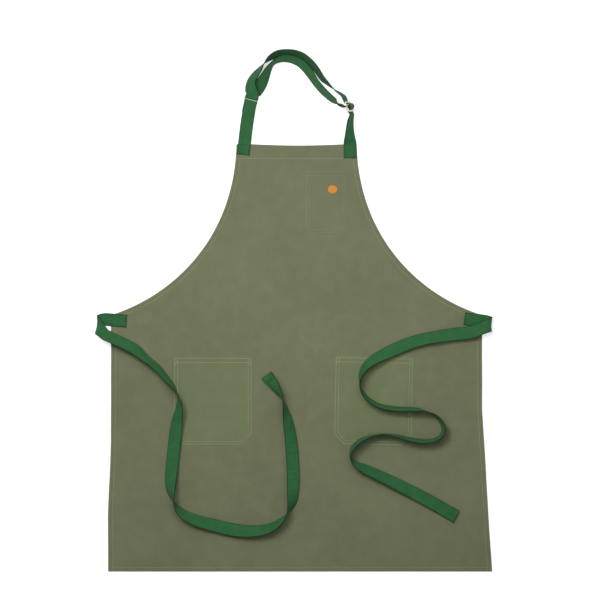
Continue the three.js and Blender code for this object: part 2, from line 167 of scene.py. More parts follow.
@dataclass(frozen=True)
class Pattern:
    """The apron's main sizes, read from the frame.

    Attributes:
        centre_x: Middle of the bib.
        bib_top: The bib's upper edge.
        bib_half: Half the bib's width.
        waist_y: Height of the waist corners.
        waist_half: Half the width between them.
        hem_y: The bottom edge.
        hem_left: Left end of the bottom edge.
        hem_right: Right end of the bottom edge.
    """

    centre_x: float
    bib_top: float
    bib_half: float
    waist_y: float
    waist_half: float
    hem_y: float
    hem_left: float
    hem_right: float

    @classmethod
    def from_frame(cls) -> Pattern:
        """Reads the sizes off the hems, which mark the panel's corners.

        Returns:
            The pattern in millimetres.
        """
        side_hem_start = 13.0
        bib_low, bib_high = (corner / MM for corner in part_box("bib_hem"))
        hem_low, hem_high = (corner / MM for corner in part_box("bottom_hem"))
        armhole_low, _ = (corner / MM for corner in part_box("armhole_hem_left"))
        _, side_high = (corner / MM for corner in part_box("side_hem_left"))
        centre_x = (bib_low.x + bib_high.x) / 2
        return cls(
            centre_x=centre_x,
            bib_top=bib_high.y,
            bib_half=(bib_high.x - bib_low.x) / 2,
            waist_y=side_high.y + side_hem_start,
            waist_half=centre_x - armhole_low.x,
            hem_y=hem_low.y,
            hem_left=hem_low.x,
            hem_right=hem_high.x,
        )

    def waist_corner(self, side: Side) -> Vector:
        """The corner where the armhole meets the side edge."""
        return Vector((self.centre_x + side.value * self.waist_half, self.waist_y, 0))


# ---- meshes --------------------------------------------------------------------------------------


def meshed(name: str, shape: bmesh.types.BMesh) -> bpy.types.Mesh:
    """Turns a shape into a mesh, and frees the shape."""
    mesh = bpy.data.meshes.new(name)
    shape.to_mesh(mesh)
    shape.free()
    return mesh


def finished(
    name: str, shape: bmesh.types.BMesh, material: bpy.types.Material, slot: Slot
) -> bpy.types.Object:
    """Turns a shape in millimetres into an object in metres at the origin.

    Args:
        name: The piece's name.
        shape: The shape, which is freed.
        material: The finish.
        slot: The record's slot for it; not used.

    Returns:
        The new object, smooth shaded.
    """
    sharp_from = math.radians(60)
    shape.transform(Matrix.Scale(MM, 4))
    mesh = meshed(name, shape)
    mesh.shade_smooth()
    mesh.set_sharp_from_angle(angle=sharp_from)
    mesh.materials.append(material)
    piece = bpy.data.objects.new(name, mesh)
    bpy.context.scene.collection.objects.link(piece)
    LOG.info("%s: %d faces", name, len(mesh.polygons))
    return piece


def thicken(sheet: bpy.types.Object) -> None:
    """Gives a sheet the canvas's thickness, half on each side."""
    thick = sheet.modifiers.new("cloth", "SOLIDIFY")
    thick.thickness = CLOTH * MM
    thick.offset = 0


def grid(columns: int, rows: int, place: Callable[[int, int], Vector]) -> bmesh.types.BMesh:
    """A sheet of quads with each vertex put where it belongs.

    Args:
        columns: Vertices across.
        rows: Vertices along.
        place: Gives the place of the vertex in a column and a row.

    Returns:
        The sheet, with a UV map of column and row shares named weave.
    """
    shape = bmesh.new()
    shape.loops.layers.uv.new("weave")
    bmesh.ops.create_grid(shape, x_segments=columns - 1, y_segments=rows - 1, size=1, calc_uvs=True)
    for vert in shape.verts:
        column = round((vert.co.x + 1) / 2 * (columns - 1))
        row = round((vert.co.y + 1) / 2 * (rows - 1))
        vert.co = place(column, row)
    return shape


def repeated(
    name: str, unit: bpy.types.Mesh, places: Sequence[Matrix], material: bpy.types.Material, slot: Slot
) -> bpy.types.Object:
    """One object that holds a copy of a small mesh at each place.

    Args:
        name: The piece's name.
        unit: The mesh that is repeated.
        places: Where each copy goes, in millimetres.
        material: The finish.
        slot: The record's slot for it.

    Returns:
        The new object.
    """
    shape = bmesh.new()
    for place in places:
        before = len(shape.verts)
        shape.from_mesh(unit)
        shape.verts.ensure_lookup_table()
        bmesh.ops.transform(shape, matrix=place, verts=shape.verts[before:])
    return finished(name, shape, material, slot)


class Route:
    """A centripetal Catmull-Rom curve through points, with one equal span of share for each pair."""

    def __init__(self, points: Sequence[Vector], across: Sequence[Vector] | None = None) -> None:
        """Keeps the points and the directions that go with them.

        Args:
            points: The points that the curve passes through.
            across: A direction at each point, if there are any.
        """
        self.spans = len(points) - 1
        self.points = self.extended(points)
        self.directions = self.extended(across or points)

    @staticmethod
    def extended(values: Sequence[Vector]) -> list[Vector]:
        """Adds one more value past each end."""
        return [values[0] * 2 - values[1], *values, values[-1] * 2 - values[-2]]

    def between(self, values: list[Vector], share: float) -> Vector:
        """Runs smoothly through values, at the pace that the points set.

        Args:
            values: The points or the directions.
            share: From 0 to 1.

        Returns:
            The value at that share of the way.
        """
        along = min(max(share, 0.0), 1.0) * self.spans
        span = min(int(along), self.spans - 1)
        t = along - span
        marks = self.points[span : span + 4]
        d0, d1, d2 = (max((b - a).length ** 0.5, 1e-4) for a, b in zip(marks, marks[1:]))
        v0, v1, v2, v3 = values[span : span + 4]
        t1 = ((v1 - v0) / d0 - (v2 - v0) / (d0 + d1) + (v2 - v1) / d1) * d1
        t2 = ((v2 - v1) / d1 - (v3 - v1) / (d1 + d2) + (v3 - v2) / d2) * d1
        bend = (v2 - v1) * 3 - t1 * 2 - t2
        close = (v1 - v2) * 2 + t1 + t2
        return v1 + t1 * t + bend * (t * t) + close * (t * t * t)

    def at(self, share: float) -> Vector:
        """The point at a share of the way."""
        return self.between(self.points, share)

    def across_at(self, share: float) -> Vector:
        """The direction that goes with a share of the way."""
        return self.between(self.directions, share)

    def tangent(self, share: float) -> Vector:
        """The direction of travel at a share of the way."""
        step = 1e-4
        return (self.at(share + step) - self.at(share - step)).normalized()

    def span_length(self, span: int) -> float:
        """The length of one span, measured in short steps."""
        marks = [self.at((span + k / 8) / self.spans) for k in range(9)]
        return sum((b - a).length for a, b in zip(marks, marks[1:]))


# ---- stitching -----------------------------------------------------------------------------------


@dataclass(frozen=True)
class Stitching:
    """Rows of small raised stitches.

    Attributes:
        length: One stitch.
        pitch: From one stitch to the next.
        radius: Half the thread's thickness.
    """

    length: float = 3.0
    pitch: float = 3.7
    radius: float = 0.3

    def unit(self) -> bpy.types.Mesh:
        """One stitch along X: a thread that dives into the cloth at both ends."""
        shape = bmesh.new()
        bmesh.ops.create_uvsphere(shape, u_segments=6, v_segments=5, radius=1)
        size = Vector((self.radius, self.radius, self.length / 2))
        bmesh.ops.scale(shape, vec=size, verts=shape.verts)
        turn = Matrix.Rotation(math.radians(90), 3, "Y")
        bmesh.ops.rotate(shape, cent=(0, 0, 0), matrix=turn, verts=shape.verts)
        return meshed("stitch_unit", shape)

    def along(self, line: Sequence[Vector], height: float, follow: bool = True) -> list[Matrix]:
        """Places stitches evenly along a line.

        Args:
            line: The line's points, where Z is added to the height.
            height: The surface that the thread lies on.
            follow: Whether that surface is the laid cloth, which rises and sinks.

        Returns:
            A place for each stitch.
        """
        places = []
        spare = self.pitch / 2
        for start, end in zip(line, line[1:]):
            run = end - start
            direction = run.normalized()
            across = UP.cross(direction).normalized()
            turn = Matrix((direction, across, direction.cross(across))).transposed().to_4x4()
            while spare < run.length:
                point = start + direction * spare
                rise = lie(point.x, point.y) if follow else 0
                lifted = point + UP * (height + rise)
                places.append(Matrix.Translation(lifted) @ turn)
                spare += self.pitch
            spare -= run.length
        return places


# ---- finishes ------------------------------------------------------------------------------------


class Finish:
    """A node material that is built up with short calls."""

    def __init__(self, name: str) -> None:
        """Starts an empty material with its shader.

        Args:
            name: The material's name.
        """
        self.material = bpy.data.materials.new(name)
        self.material.use_nodes = True
        self.tree = self.material.node_tree
        self.shader = self.tree.nodes["Principled BSDF"]

    def node(self, kind: str, **settings: str) -> bpy.types.Node:
        """Adds a node and sets its properties."""
        made = self.tree.nodes.new(f"ShaderNode{kind}")
        for key, value in settings.items():
            setattr(made, key, value)
        return made

    def feed(self, target: bpy.types.NodeSocket, source: Value) -> None:
        """Links a socket, or gives it a plain value."""
        if isinstance(source, bpy.types.NodeSocket):
            self.tree.links.new(source, target)
        else:
            target.default_value = source

    def math(self, operation: str, *values: Value) -> bpy.types.NodeSocket:
        """A maths node of one to three values."""
        made = self.node("Math", operation=operation)
        for target, value in zip(made.inputs, values):
            self.feed(target, value)
        return made.outputs[0]

    def place(self, uv: str | None = None) -> bpy.types.NodeSocket:
        """The object's own coordinates, or one of the piece's UV maps."""
        if uv is not None:
            return self.node("UVMap", uv_map=uv).outputs["UV"]
        return self.node("TexCoord").outputs["Object"]

    def noise(self, place: bpy.types.NodeSocket, scale: float, detail: float = 3) -> bpy.types.NodeSocket:
        """A soft random value with a set number of lumps to the metre."""
        made = self.node("TexNoise")
        self.feed(made.inputs["Vector"], place)
        self.feed(made.inputs["Scale"], scale)
        self.feed(made.inputs["Detail"], detail)
        return made.outputs["Fac"]

    def weighted(self, first: Value, first_share: float, second: Value, second_share: float) -> Value:
        """Adds two values, each by its own share."""
        first_part = self.math("MULTIPLY", first, first_share)
        return self.math("ADD", first_part, self.math("MULTIPLY", second, second_share))

    def clamped(self, value: Value) -> Value:
        """Keeps a value from 0 to 1."""
        return self.math("MINIMUM", self.math("MAXIMUM", value, 0), 1)

    def axes(self, place: bpy.types.NodeSocket) -> tuple[bpy.types.NodeSocket, bpy.types.NodeSocket]:
        """The first two coordinates of a place."""
        split = self.node("SeparateXYZ")
        self.feed(split.inputs[0], place)
        return split.outputs[0], split.outputs[1]

    def shaded(self, colour: bpy.types.NodeSocket, shade: bpy.types.NodeSocket) -> bpy.types.NodeSocket:
        """Multiplies a colour by a shade of grey."""
        grey = self.node("CombineColor")
        for socket in grey.inputs[:3]:
            self.feed(socket, shade)
        return self.blend(1.0, colour, grey.outputs[0], "MULTIPLY")

    def blend(self, share: Value, first: Value, second: Value, mode: str = "MIX") -> bpy.types.NodeSocket:
        """Mixes two colours."""
        made = self.node("Mix", data_type="RGBA", blend_type=mode)
        self.feed(made.inputs[0], share)
        self.feed(made.inputs[6], first)
        self.feed(made.inputs[7], second)
        return made.outputs[2]

    def bump(
        self, height: bpy.types.NodeSocket, distance: float, strength: float, under: Value | None = None
    ) -> bpy.types.NodeSocket:
        """Turns a height into a normal, over another normal if there is one."""
        made = self.node("Bump")
        self.feed(made.inputs["Height"], height)
        self.feed(made.inputs["Distance"], distance)
        self.feed(made.inputs["Strength"], strength)
        if under is not None:
            self.feed(made.inputs["Normal"], under)
        return made.outputs["Normal"]

    def surface(self, **values: Value) -> bpy.types.Material:
        """Sets the shader's inputs by name, with spaces written as underscores.

        Args:
            **values: A link or a plain value for each input.

        Returns:
            The finished material.
        """
        for key, value in values.items():
            self.feed(self.shader.inputs[key.replace("_", " ")], value)
        return self.material


def waves(finish: Finish, value: bpy.types.NodeSocket, period: float) -> bpy.types.NodeSocket:
    """A wave from 0 to 1 that repeats once each period, in metres."""
    angle = finish.math("MULTIPLY", value, 2 * math.pi / period)
    return finish.math("MULTIPLY_ADD", finish.math("SINE", angle), 0.5, 0.5)


@dataclass(frozen=True)
class Canvas:
    """Washed cotton canvas in a plain weave.

    Attributes:
        name: The material's name.
        dark: The colour in the hollows of the weave.
        light: The colour on top of the yarns.
        worn: The colour where rubbing has faded it.
        yarn: From one yarn to the next, in metres.
    """

    name: str
    dark: Colour
    light: Colour
    worn: Colour
    yarn: float = 0.0011

    def build(self) -> bpy.types.Material:
        """Makes the material.

        Returns:
            The canvas.
        """
        finish = Finish(self.name)
        place = finish.place()
        x, y = finish.axes(place)
        wander = finish.math("MULTIPLY_ADD", finish.noise(place, 160, 2), 0.0009, 0)
        across = finish.math("ADD", x, wander)
        along = finish.math("ADD", y, wander)
        warp = waves(finish, across, self.yarn)
        weft = waves(finish, along, self.yarn)
        over = finish.math("MULTIPLY", warp, weft)
        under = finish.math("MULTIPLY", finish.math("SUBTRACT", 1, warp), finish.math("SUBTRACT", 1, weft))
        weave = finish.math("MAXIMUM", over, under)
        slub = finish.noise(place, 900, 2)
        patches = finish.noise(place, 7, 4)
        clouds = finish.noise(place, 38, 5)
        tone = finish.weighted(weave, 0.4, slub, 0.6)
        colour = finish.blend(tone, self.dark, self.light)
        faded = finish.math("MULTIPLY", finish.math("SUBTRACT", clouds, 0.42), 1.3)
        faded = finish.math("MAXIMUM", faded, 0)
        edge = finish.node("Attribute", attribute_name="rubbed").outputs["Fac"]
        share = finish.weighted(faded, 0.35, edge, 0.5)
        colour = finish.blend(share, colour, self.worn)
        shade = finish.math("MULTIPLY_ADD", patches, 0.3, 0.85)
        colour = finish.shaded(colour, shade)
        creased = finish.bump(finish.noise(place, 55, 6), 0.0016, 0.32)
        relief = finish.math("ADD", weave, finish.math("MULTIPLY", slub, 0.5))
        woven = finish.bump(relief, 0.00022, 0.6, creased)
        rough = finish.math("MULTIPLY_ADD", slub, 0.16, 0.8)
        return finish.surface(
            Base_Color=colour,
            Roughness=rough,
            Normal=woven,
            Sheen_Weight=0.12,
            Sheen_Roughness=0.6,
            Specular_IOR_Level=0.2,
        )


@dataclass(frozen=True)
class Webbing:
    """Cotton webbing in a herringbone weave, with a plain selvedge on each side, and a band of painted shade
    darkened along each edge.

    Attributes:
        name: The material's name.
        dark: The colour between the yarns.
        light: The colour of the yarns.
        rib: From one rib to the next along the webbing, in metres.
        zigzag: Width of one leg of the herringbone, in metres.
        yarn: From one yarn to the next across the webbing, in metres.
        selvedge: Width of the band of painted shade along each edge, in millimetres.
        rim_fade: How far it takes that painted shade to reach its full darkness, in metres.
    """

    name: str
    dark: Colour
    light: Colour
    rib: float = 0.0016
    zigzag: float = 0.0052
    yarn: float = 0.0008
    selvedge: float = 1.3
    rim_fade: float = 0.0006

    def build(self) -> bpy.types.Material:
        """Makes the material. It reads the piece's weave map: metres along, metres across.

        Returns:
            The webbing.
        """
        finish = Finish(self.name)
        place = finish.place("weave")
        along, across = finish.axes(place)
        leg = finish.math("PINGPONG", across, self.zigzag)
        ribs = waves(finish, finish.math("ADD", along, leg), self.rib)
        slanted = finish.math("SUBTRACT", across, finish.math("MULTIPLY", along, 0.2))
        yarns = waves(finish, slanted, self.yarn)
        fuzz = finish.noise(place, 1400, 2)
        mottle = finish.noise(place, 60, 4)
        weave = finish.weighted(ribs, 0.7, yarns, 0.3)
        tone = finish.weighted(weave, 0.55, fuzz, 0.45)
        colour = finish.blend(tone, self.dark, self.light)
        # Painted shade: a band along each edge is darkened by up to 72 per cent, standing in for the shade
        # beside the webbing's edges.
        past = finish.math("SUBTRACT", finish.math("ABSOLUTE", across), (HALF_WEB - self.selvedge) * MM)
        rim = finish.clamped(finish.math("DIVIDE", past, self.rim_fade))
        shade = finish.math("MULTIPLY_ADD", mottle, 0.5, 0.75)
        shade = finish.math("MULTIPLY", shade, finish.math("MULTIPLY_ADD", rim, -0.72, 1))
        colour = finish.shaded(colour, shade)
        relief = finish.math("ADD", weave, finish.math("MULTIPLY", fuzz, 0.35))
        return finish.surface(
            Base_Color=colour,
            Roughness=finish.math("MULTIPLY_ADD", fuzz, 0.2, 0.72),
            Normal=finish.bump(relief, 0.0003, 0.7),
            Sheen_Weight=0.03,
            Sheen_Roughness=0.5,
            Specular_IOR_Level=0.12,
        )


@dataclass(frozen=True)
class Thread:
    """Twisted sewing thread.

    Attributes:
        name: The material's name.
        dark: The colour in the twist's hollows.
        light: The colour on its strands.
        roughness: How matt the thread is.
        twist: From one turn of the twist to the next, in metres.
    """

    name: str
    dark: Colour
    light: Colour
    roughness: float = 0.6
    twist: float = 0.00055

    def build(self) -> bpy.types.Material:
        """Makes the material.

        Returns:
            The thread.
        """
        finish = Finish(self.name)
        place = finish.place()
        slant = finish.math("ADD", *finish.axes(place))
        twist = waves(finish, slant, self.twist)
        fuzz = finish.noise(place, 2200, 2)
        tone = finish.weighted(twist, 0.5, fuzz, 0.5)
        return finish.surface(
            Base_Color=finish.blend(tone, self.dark, self.light),
            Roughness=self.roughness,
            Normal=finish.bump(twist, 0.00012, 0.6),
            Sheen_Weight=0.2,
            Specular_IOR_Level=0.35,
        )


@dataclass(frozen=True)
class AgedBrass:
    """Pale cast brass that has dulled in its hollows.

    Attributes:
        name: The material's name.
        bright: The rubbed metal.
        dull: The tarnish.
    """

    name: str
    bright: Colour
    dull: Colour

    def build(self) -> bpy.types.Material:
        """Makes the material.

        Returns:
            The metal.
        """
        finish = Finish(self.name)
        place = finish.place()
        tarnish = finish.noise(place, 260, 5)
        share = finish.math("MULTIPLY", finish.math("SUBTRACT", tarnish, 0.45), 2.2)
        share = finish.clamped(share)
        grain = finish.noise(place, 1900, 3)
        return finish.surface(
            Base_Color=finish.blend(share, self.bright, self.dull),
            Metallic=0.9,
            Roughness=finish.math("MULTIPLY_ADD", tarnish, 0.35, 0.22),
            Normal=finish.bump(grain, 0.00015, 0.35),
        )


@dataclass(frozen=True)
class PaleFloor:
    """A plain matt floor.

    Attributes:
        name: The material's name.
        colour: Its colour.
    """

    name: str
    colour: Colour

    def build(self) -> bpy.types.Material:
        """Makes the material.

        Returns:
            The floor's finish.
        """
        finish = Finish(self.name)
        speck = finish.noise(finish.place(), 30, 2)
        shade = finish.blend(finish.math("MULTIPLY", speck, 0.04), self.colour, (0.5, 0.5, 0.5, 1))
        return finish.surface(
            Base_Color=shade,
            Roughness=0.9,
            Specular_IOR_Level=0.1,
            Emission_Color=(1, 1, 1, 1),
            Emission_Strength=0.6,
        )


@dataclass
class Wardrobe:
    """All the finishes, each made once.

    Attributes:
        canvas: Olive cloth of the panel and of the bib pocket.
        pocket: The lower pockets' cloth, a little greener.
        webbing: Green webbing of the neck loop and the ties.
        khaki_thread: Pale thread on the hems and the lower pockets.
        canvas_thread: Thread of the canvas's own colour, on the bib pocket.
        green_thread: Near-black thread on the webbing's ends.
        satin: Orange embroidery thread.
        brass: Metal of the ring and the slider.
        floor: The floor under the apron.
    """

    canvas: bpy.types.Material
    pocket: bpy.types.Material
    webbing: bpy.types.Material
    khaki_thread: bpy.types.Material
    canvas_thread: bpy.types.Material
    green_thread: bpy.types.Material
    satin: bpy.types.Material
    brass: bpy.types.Material
    floor: bpy.types.Material

    @classmethod
    def make(cls) -> Wardrobe:
        """Builds every finish.

        Returns:
            The wardrobe.
        """
        return cls(
            canvas=Canvas(
                "olive_canvas", (0.098, 0.109, 0.058, 1), (0.185, 0.202, 0.112, 1), (0.235, 0.25, 0.155, 1)
            ).build(),
            pocket=Canvas(
                "pocket_canvas", (0.098, 0.117, 0.057, 1), (0.186, 0.217, 0.109, 1), (0.235, 0.261, 0.153, 1)
            ).build(),
            webbing=Webbing("green_webbing", (0.009, 0.046, 0.015, 1), (0.045, 0.185, 0.066, 1)).build(),
            khaki_thread=Thread("khaki_thread", (0.22, 0.23, 0.12, 1), (0.42, 0.43, 0.26, 1)).build(),
            canvas_thread=Thread("canvas_thread", (0.15, 0.16, 0.09, 1), (0.25, 0.26, 0.16, 1)).build(),
            green_thread=Thread("green_thread", (0.001, 0.003, 0.001, 1), (0.003, 0.012, 0.005, 1)).build(),
            satin=Thread("satin_thread", (0.5, 0.13, 0.01, 1), (0.85, 0.42, 0.05, 1), 0.4).build(),
            brass=AgedBrass("aged_brass", (0.74, 0.68, 0.52, 1), (0.3, 0.25, 0.16, 1)).build(),
            floor=PaleFloor("pale_floor", (0.62, 0.62, 0.62, 1)).build(),
        )


# ---- cloth ---------------------------------------------------------------------------------------


@dataclass
class Panel:
    """The main panel: one sheet with all its edges turned under, and its topstitching.

    Attributes:
        pattern: The apron's main sizes.
        looks: The finishes.
        armhole_drop: How far the armhole runs down before it turns.
        armhole_reach: How far it runs in along the waist before it turns.
        bottom_hem: Width of the bottom hem.
        bib_hem: Width of the bib's hem.
        fold: Half the height of a turned edge, between the middles of its layers.
        turn_marks: Where a turned edge has its vertices, past the fold.
        edge_marks: Where the cloth has its columns, in from a side edge.
        middle_columns: Columns between the last marks of the two sides.
        skirt_marks: Where it has its rows, up from the bottom edge.
        skirt_rows: Rows between the last of those marks and the waist corners.
        armhole_rows: Rows beside the armholes.
        bib_marks: Where it has its rows, down from the bib's top.
    """

    pattern: Pattern
    looks: Wardrobe
    armhole_drop: float = 180.0
    armhole_reach: float = 125.0
    bottom_hem: float = 9.0
    bib_hem: float = 29.0
    fold: float = 0.55
    turn_marks: tuple[float, ...] = (0.43, 0.86, 1.3, 1.73)
    edge_marks: tuple[float, ...] = (0, 0.7, 1.6, 2.8, 4.2, 5.8, 7.2, 8.2, 9.2, 10.4, 12, 15, 19, 25, 33)
    middle_columns: int = 96
    skirt_marks: tuple[float, ...] = (0, 0.7, 1.6, 2.8, 4.4, 5.8, 7, 8, 9, 10.4, 13, 17, 22)
    skirt_rows: int = 78
    armhole_rows: int = 70
    bib_marks: tuple[float, ...] = (0, 0.8, 2, 4.5, 8, 12, 16, 20, 23.5, 26, 27.4, 28.4, 29.6, 31.5, 35)

    def armhole(self, side: Side, share: float) -> Vector:
        """A point on the armhole's curve, from the bib's top at 0 to the waist at 1."""
        size, sign = self.pattern, side.value
        top = Vector((size.centre_x + sign * size.bib_half, size.bib_top, 0))
        waist = size.waist_corner(side)
        below = Vector((top.x + sign * 4, top.y - self.armhole_drop, 0))
        inside = Vector((waist.x - sign * self.armhole_reach, waist.y + 40, 0))
        rest = 1 - share
        ends = top * rest**3 + waist * share**3
        return ends + below * (3 * rest * rest * share) + inside * (3 * rest * share * share)

    def skirt_edge(self, side: Side, y: float) -> Vector:
        """A point on the side edge, which hangs straight and then flares."""
        size = self.pattern
        waist_x = size.waist_corner(side).x
        hem_x = size.hem_left if side is Side.LEFT else size.hem_right
        start, end = (0.49, 0.78) if side is Side.LEFT else (0.37, 1.0)
        down = (size.waist_y - y) / (size.waist_y - size.hem_y)
        share = min(max((down - start) / (end - start), 0), 1)
        sway = 0.7 * noise.noise(Vector((y / 70, side.value * 5, 0.4))) * smooth(0, 0.1, down)
        return Vector((mix(waist_x, hem_x, share) + sway, y, 0))

    def edge_rows(self) -> list[tuple[Vector, Vector]]:
        """The two edges' points, row by row from the hem to the bib's top.

        Returns:
            A left and a right point for each row.
        """
        size = self.pattern
        near_hem = [size.hem_y + mark for mark in self.skirt_marks]
        start = near_hem[-1]
        body = [mix(start, size.waist_y, k / self.skirt_rows) for k in range(1, self.skirt_rows)]
        rows = [(self.skirt_edge(Side.LEFT, y), self.skirt_edge(Side.RIGHT, y)) for y in near_hem + body]
        shares = [1 - k / self.armhole_rows for k in range(self.armhole_rows + 1)]
        near_top = size.bib_top - self.bib_marks[-1]
        top = [share for share in shares if self.armhole(Side.LEFT, share).y < near_top]
        rows += [(self.armhole(Side.LEFT, share), self.armhole(Side.RIGHT, share)) for share in top]
        for mark in reversed(self.bib_marks):
            share = self.share_at(size.bib_top - mark)
            rows.append((self.armhole(Side.LEFT, share), self.armhole(Side.RIGHT, share)))
        return rows

    def share_at(self, y: float) -> float:
        """The share of the armhole's curve at a height, found by halving."""
        low, high = 0.0, 1.0
        halvings = 40
        for _ in range(halvings):
            share = (low + high) / 2
            if self.armhole(Side.LEFT, share).y > y:
                low = share
            else:
                high = share
        return low

    def inward(self, rows: list[tuple[Vector, Vector]], side: Side) -> list[tuple[Vector, float]]:
        """The direction into the cloth along one edge, turning gently round the waist corner.

        Args:
            rows: The edges' points.
            side: Which edge.

        Returns:
            A unit vector for each row, level at the bib's top and at the hem, and how much of the edge's
            marks fit there: all of them away from the corner, and fewer beside it.
        """
        size = self.pattern
        edge = [row[0 if side is Side.LEFT else 1] for row in rows]
        corner = size.waist_corner(side)
        level = Vector((-side.value, 0, 0))
        at_corner = self.square_to(self.armhole(side, 0.985) - corner, side).lerp(level, 0.5)
        ways = []
        for k, point in enumerate(edge):
            square = self.square_to(edge[min(k + 1, len(edge) - 1)] - edge[max(k - 1, 0)], side)
            away = (point - corner).length
            way = at_corner.lerp(square, smooth(0, 60 if point.y < corner.y else 150, away))
            ends = max(1 - smooth(0, 30, size.bib_top - point.y), 1 - smooth(0, 25, point.y - size.hem_y))
            ways.append((way.lerp(level, ends).normalized(), mix(0.38, 1, smooth(0, 220, away))))
        return ways

    @staticmethod
    def square_to(run: Vector, side: Side) -> Vector:
        """The unit vector into the cloth, square to an edge that runs up."""
        along = run.normalized()
        return Vector((-side.value * along.y, side.value * along.x, 0))

    def turned(self, past: float) -> tuple[float, float]:
        """The path of a turned edge.

        Args:
            past: How far past the fold, along the cloth.

        Returns:
            How far outside the fold line, and how far below the upper layer.
        """
        half_turn = math.pi * self.fold
        if past < half_turn:
            angle = past / self.fold
            return self.fold * math.sin(angle), self.fold * (1 - math.cos(angle))
        return half_turn - past, 2 * self.fold

    def build(self) -> bpy.types.Object:
        """Makes the panel and its stitching.

        Returns:
            The panel's sheet.
        """
        rows = self.edge_rows()
        flap = (*self.turn_marks, 3.5, 6.0, 9.5)
        left = len(flap)
        marks = self.edge_marks
        columns = 2 * left + 2 * len(marks) + self.middle_columns
        bib_flap = (*self.turn_marks, 6, 14, 22, self.bib_hem)
        hem_flap = (*self.turn_marks, 4, self.bottom_hem)
        below, above = len(hem_flap), len(bib_flap)
        count = below + len(rows) + above
        directions = list(zip(self.inward(rows, Side.LEFT), self.inward(rows, Side.RIGHT)))

        def flat_place(column: int, row: int) -> Vector:
            """The place between the two edges, before the top and the bottom are turned under."""
            edge_left, edge_right = rows[row]
            (into_left, fit_left), (into_right, fit_right) = directions[row]
            last = columns - 1
            if column < left or column > last - left:
                past = flap[left - 1 - column] if column < left else flap[column - (last - left) - 1]
                out, drop = self.turned(past)
                edge, into = (edge_left, into_left) if column < left else (edge_right, into_right)
                return edge + into * (self.fold - out) - UP * drop
            place = column - left
            inner = self.fold
            if place < len(marks):
                return edge_left + into_left * (inner + marks[place] * fit_left)
            from_right = last - left - column
            if from_right < len(marks):
                return edge_right + into_right * (inner + marks[from_right] * fit_right)
            start = edge_left + into_left * (inner + marks[-1] * fit_left)
            end = edge_right + into_right * (inner + marks[-1] * fit_right)
            share = (place - len(marks) + 1) / (self.middle_columns + 1)
            return start.lerp(end, share)

        def place(column: int, row: int) -> Vector:
            """The place in the flat sheet, with the top and the bottom turned under."""
            inside = min(max(row - below, 0), len(rows) - 1)
            point = flat_place(column, inside)
            if row < below:
                out, drop = self.turned(hem_flap[below - 1 - row])
                point = point + Vector((0, self.fold - out, -drop))
            elif row >= below + len(rows):
                out, drop = self.turned(bib_flap[row - below - len(rows)])
                point = point + Vector((0, out - self.fold, -drop))
            elif inside == 0:
                point = point + Vector((0, self.fold, 0))
            elif inside == len(rows) - 1:
                point = point - Vector((0, self.fold, 0))
            return point

        shape = grid(columns, count, place)
        self.drop_corners(shape, columns, count, left, below, above)
        self.settle(shape)
        panel = finished("panel_cloth", shape, self.looks.canvas, Slot.CANVAS)
        thicken(panel)
        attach(panel, APRON)
        hems = [f"{word}_hem_{side.word}" for word in ("armhole", "side") for side in Side]
        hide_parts("main_panel", "bib_hem", "bottom_hem", *hems)
        self.stitch(rows, directions)
        return panel

    def drop_corners(
        self, shape: bmesh.types.BMesh, columns: int, count: int, left: int, below: int, above: int
    ) -> None:
        """Takes away the cloth that is cut off where two turned edges would lie on each other.

        Args:
            shape: The sheet.
            columns: Its columns.
            count: Its rows.
            left: Columns in a side's flap.
            below: Rows in the hem's flap.
            above: Rows in the bib's flap.
        """
        layer = shape.loops.layers.uv["weave"]
        spare = []
        for face in shape.faces:
            u = sum(loop[layer].uv.x for loop in face.loops) / len(face.loops) * (columns - 1)
            v = sum(loop[layer].uv.y for loop in face.loops) / len(face.loops) * (count - 1)
            at_side = u < left or u > columns - 1 - left
            at_end = v < below or v > count - 1 - above
            if at_side and at_end:
                spare.append(face)
        bmesh.ops.delete(shape, geom=spare, context="FACES")

    def settle(self, shape: bmesh.types.BMesh) -> None:
        """Lays the sheet down: it rises and sinks, and puckers along the seams.

        Args:
            shape: The sheet, whose upper layer is at 0.
        """
        size = self.pattern
        rubbed = shape.verts.layers.float.new("rubbed")
        for vert in shape.verts:
            x, y = vert.co.x, vert.co.y
            from_hem = y - size.hem_y
            from_top = size.bib_top - y
            seam = max(dip(from_hem - 8, 2.2), dip(from_top - self.bib_hem + 1, 2.2))
            edge = self.edge_distance(x, y)
            seam = max(seam, dip(edge - 8.4, 2.0))
            pucker = 0.5 + 0.5 * noise.noise(Vector((x / 6, y / 6, 1.7)))
            near_edge = dip(min(edge, from_hem, from_top), 5)
            wave = 0.22 * noise.noise(Vector((x / 24, y / 24, 9.2))) * near_edge
            rubbed_here = max(dip(min(edge, from_hem, from_top), 1.6), 0.35 * seam * pucker)
            vert[rubbed] = min(max(rubbed_here, 0), 1)
            vert.co.z += PANEL_MIDDLE + lie(x, y) - 0.2 * seam * (0.5 + pucker) + wave
            vert.co.y -= self.slack(x) * smooth(-45, 0, -from_top)

    def slack(self, x: float) -> float:
        """How far the bib's upper edge sags between the two straps."""
        share = (x - self.pattern.centre_x) / self.pattern.bib_half / 2 + 0.5
        return 2.6 * max(math.sin(math.pi * min(max(share * 1.25 - 0.15, 0), 1)), 0)

    def edge_distance(self, x: float, y: float) -> float:
        """About how far a place is from the nearer side edge."""
        size = self.pattern
        side = Side.LEFT if x < size.centre_x else Side.RIGHT
        if y <= size.waist_y:
            return abs(self.skirt_edge(side, y).x - x)
        share = self.share_at(y)
        point = self.armhole(side, share)
        ahead = self.armhole(side, min(share + 0.01, 1.0))
        along = (ahead - point).normalized()
        return abs((x - point.x) * along.y)

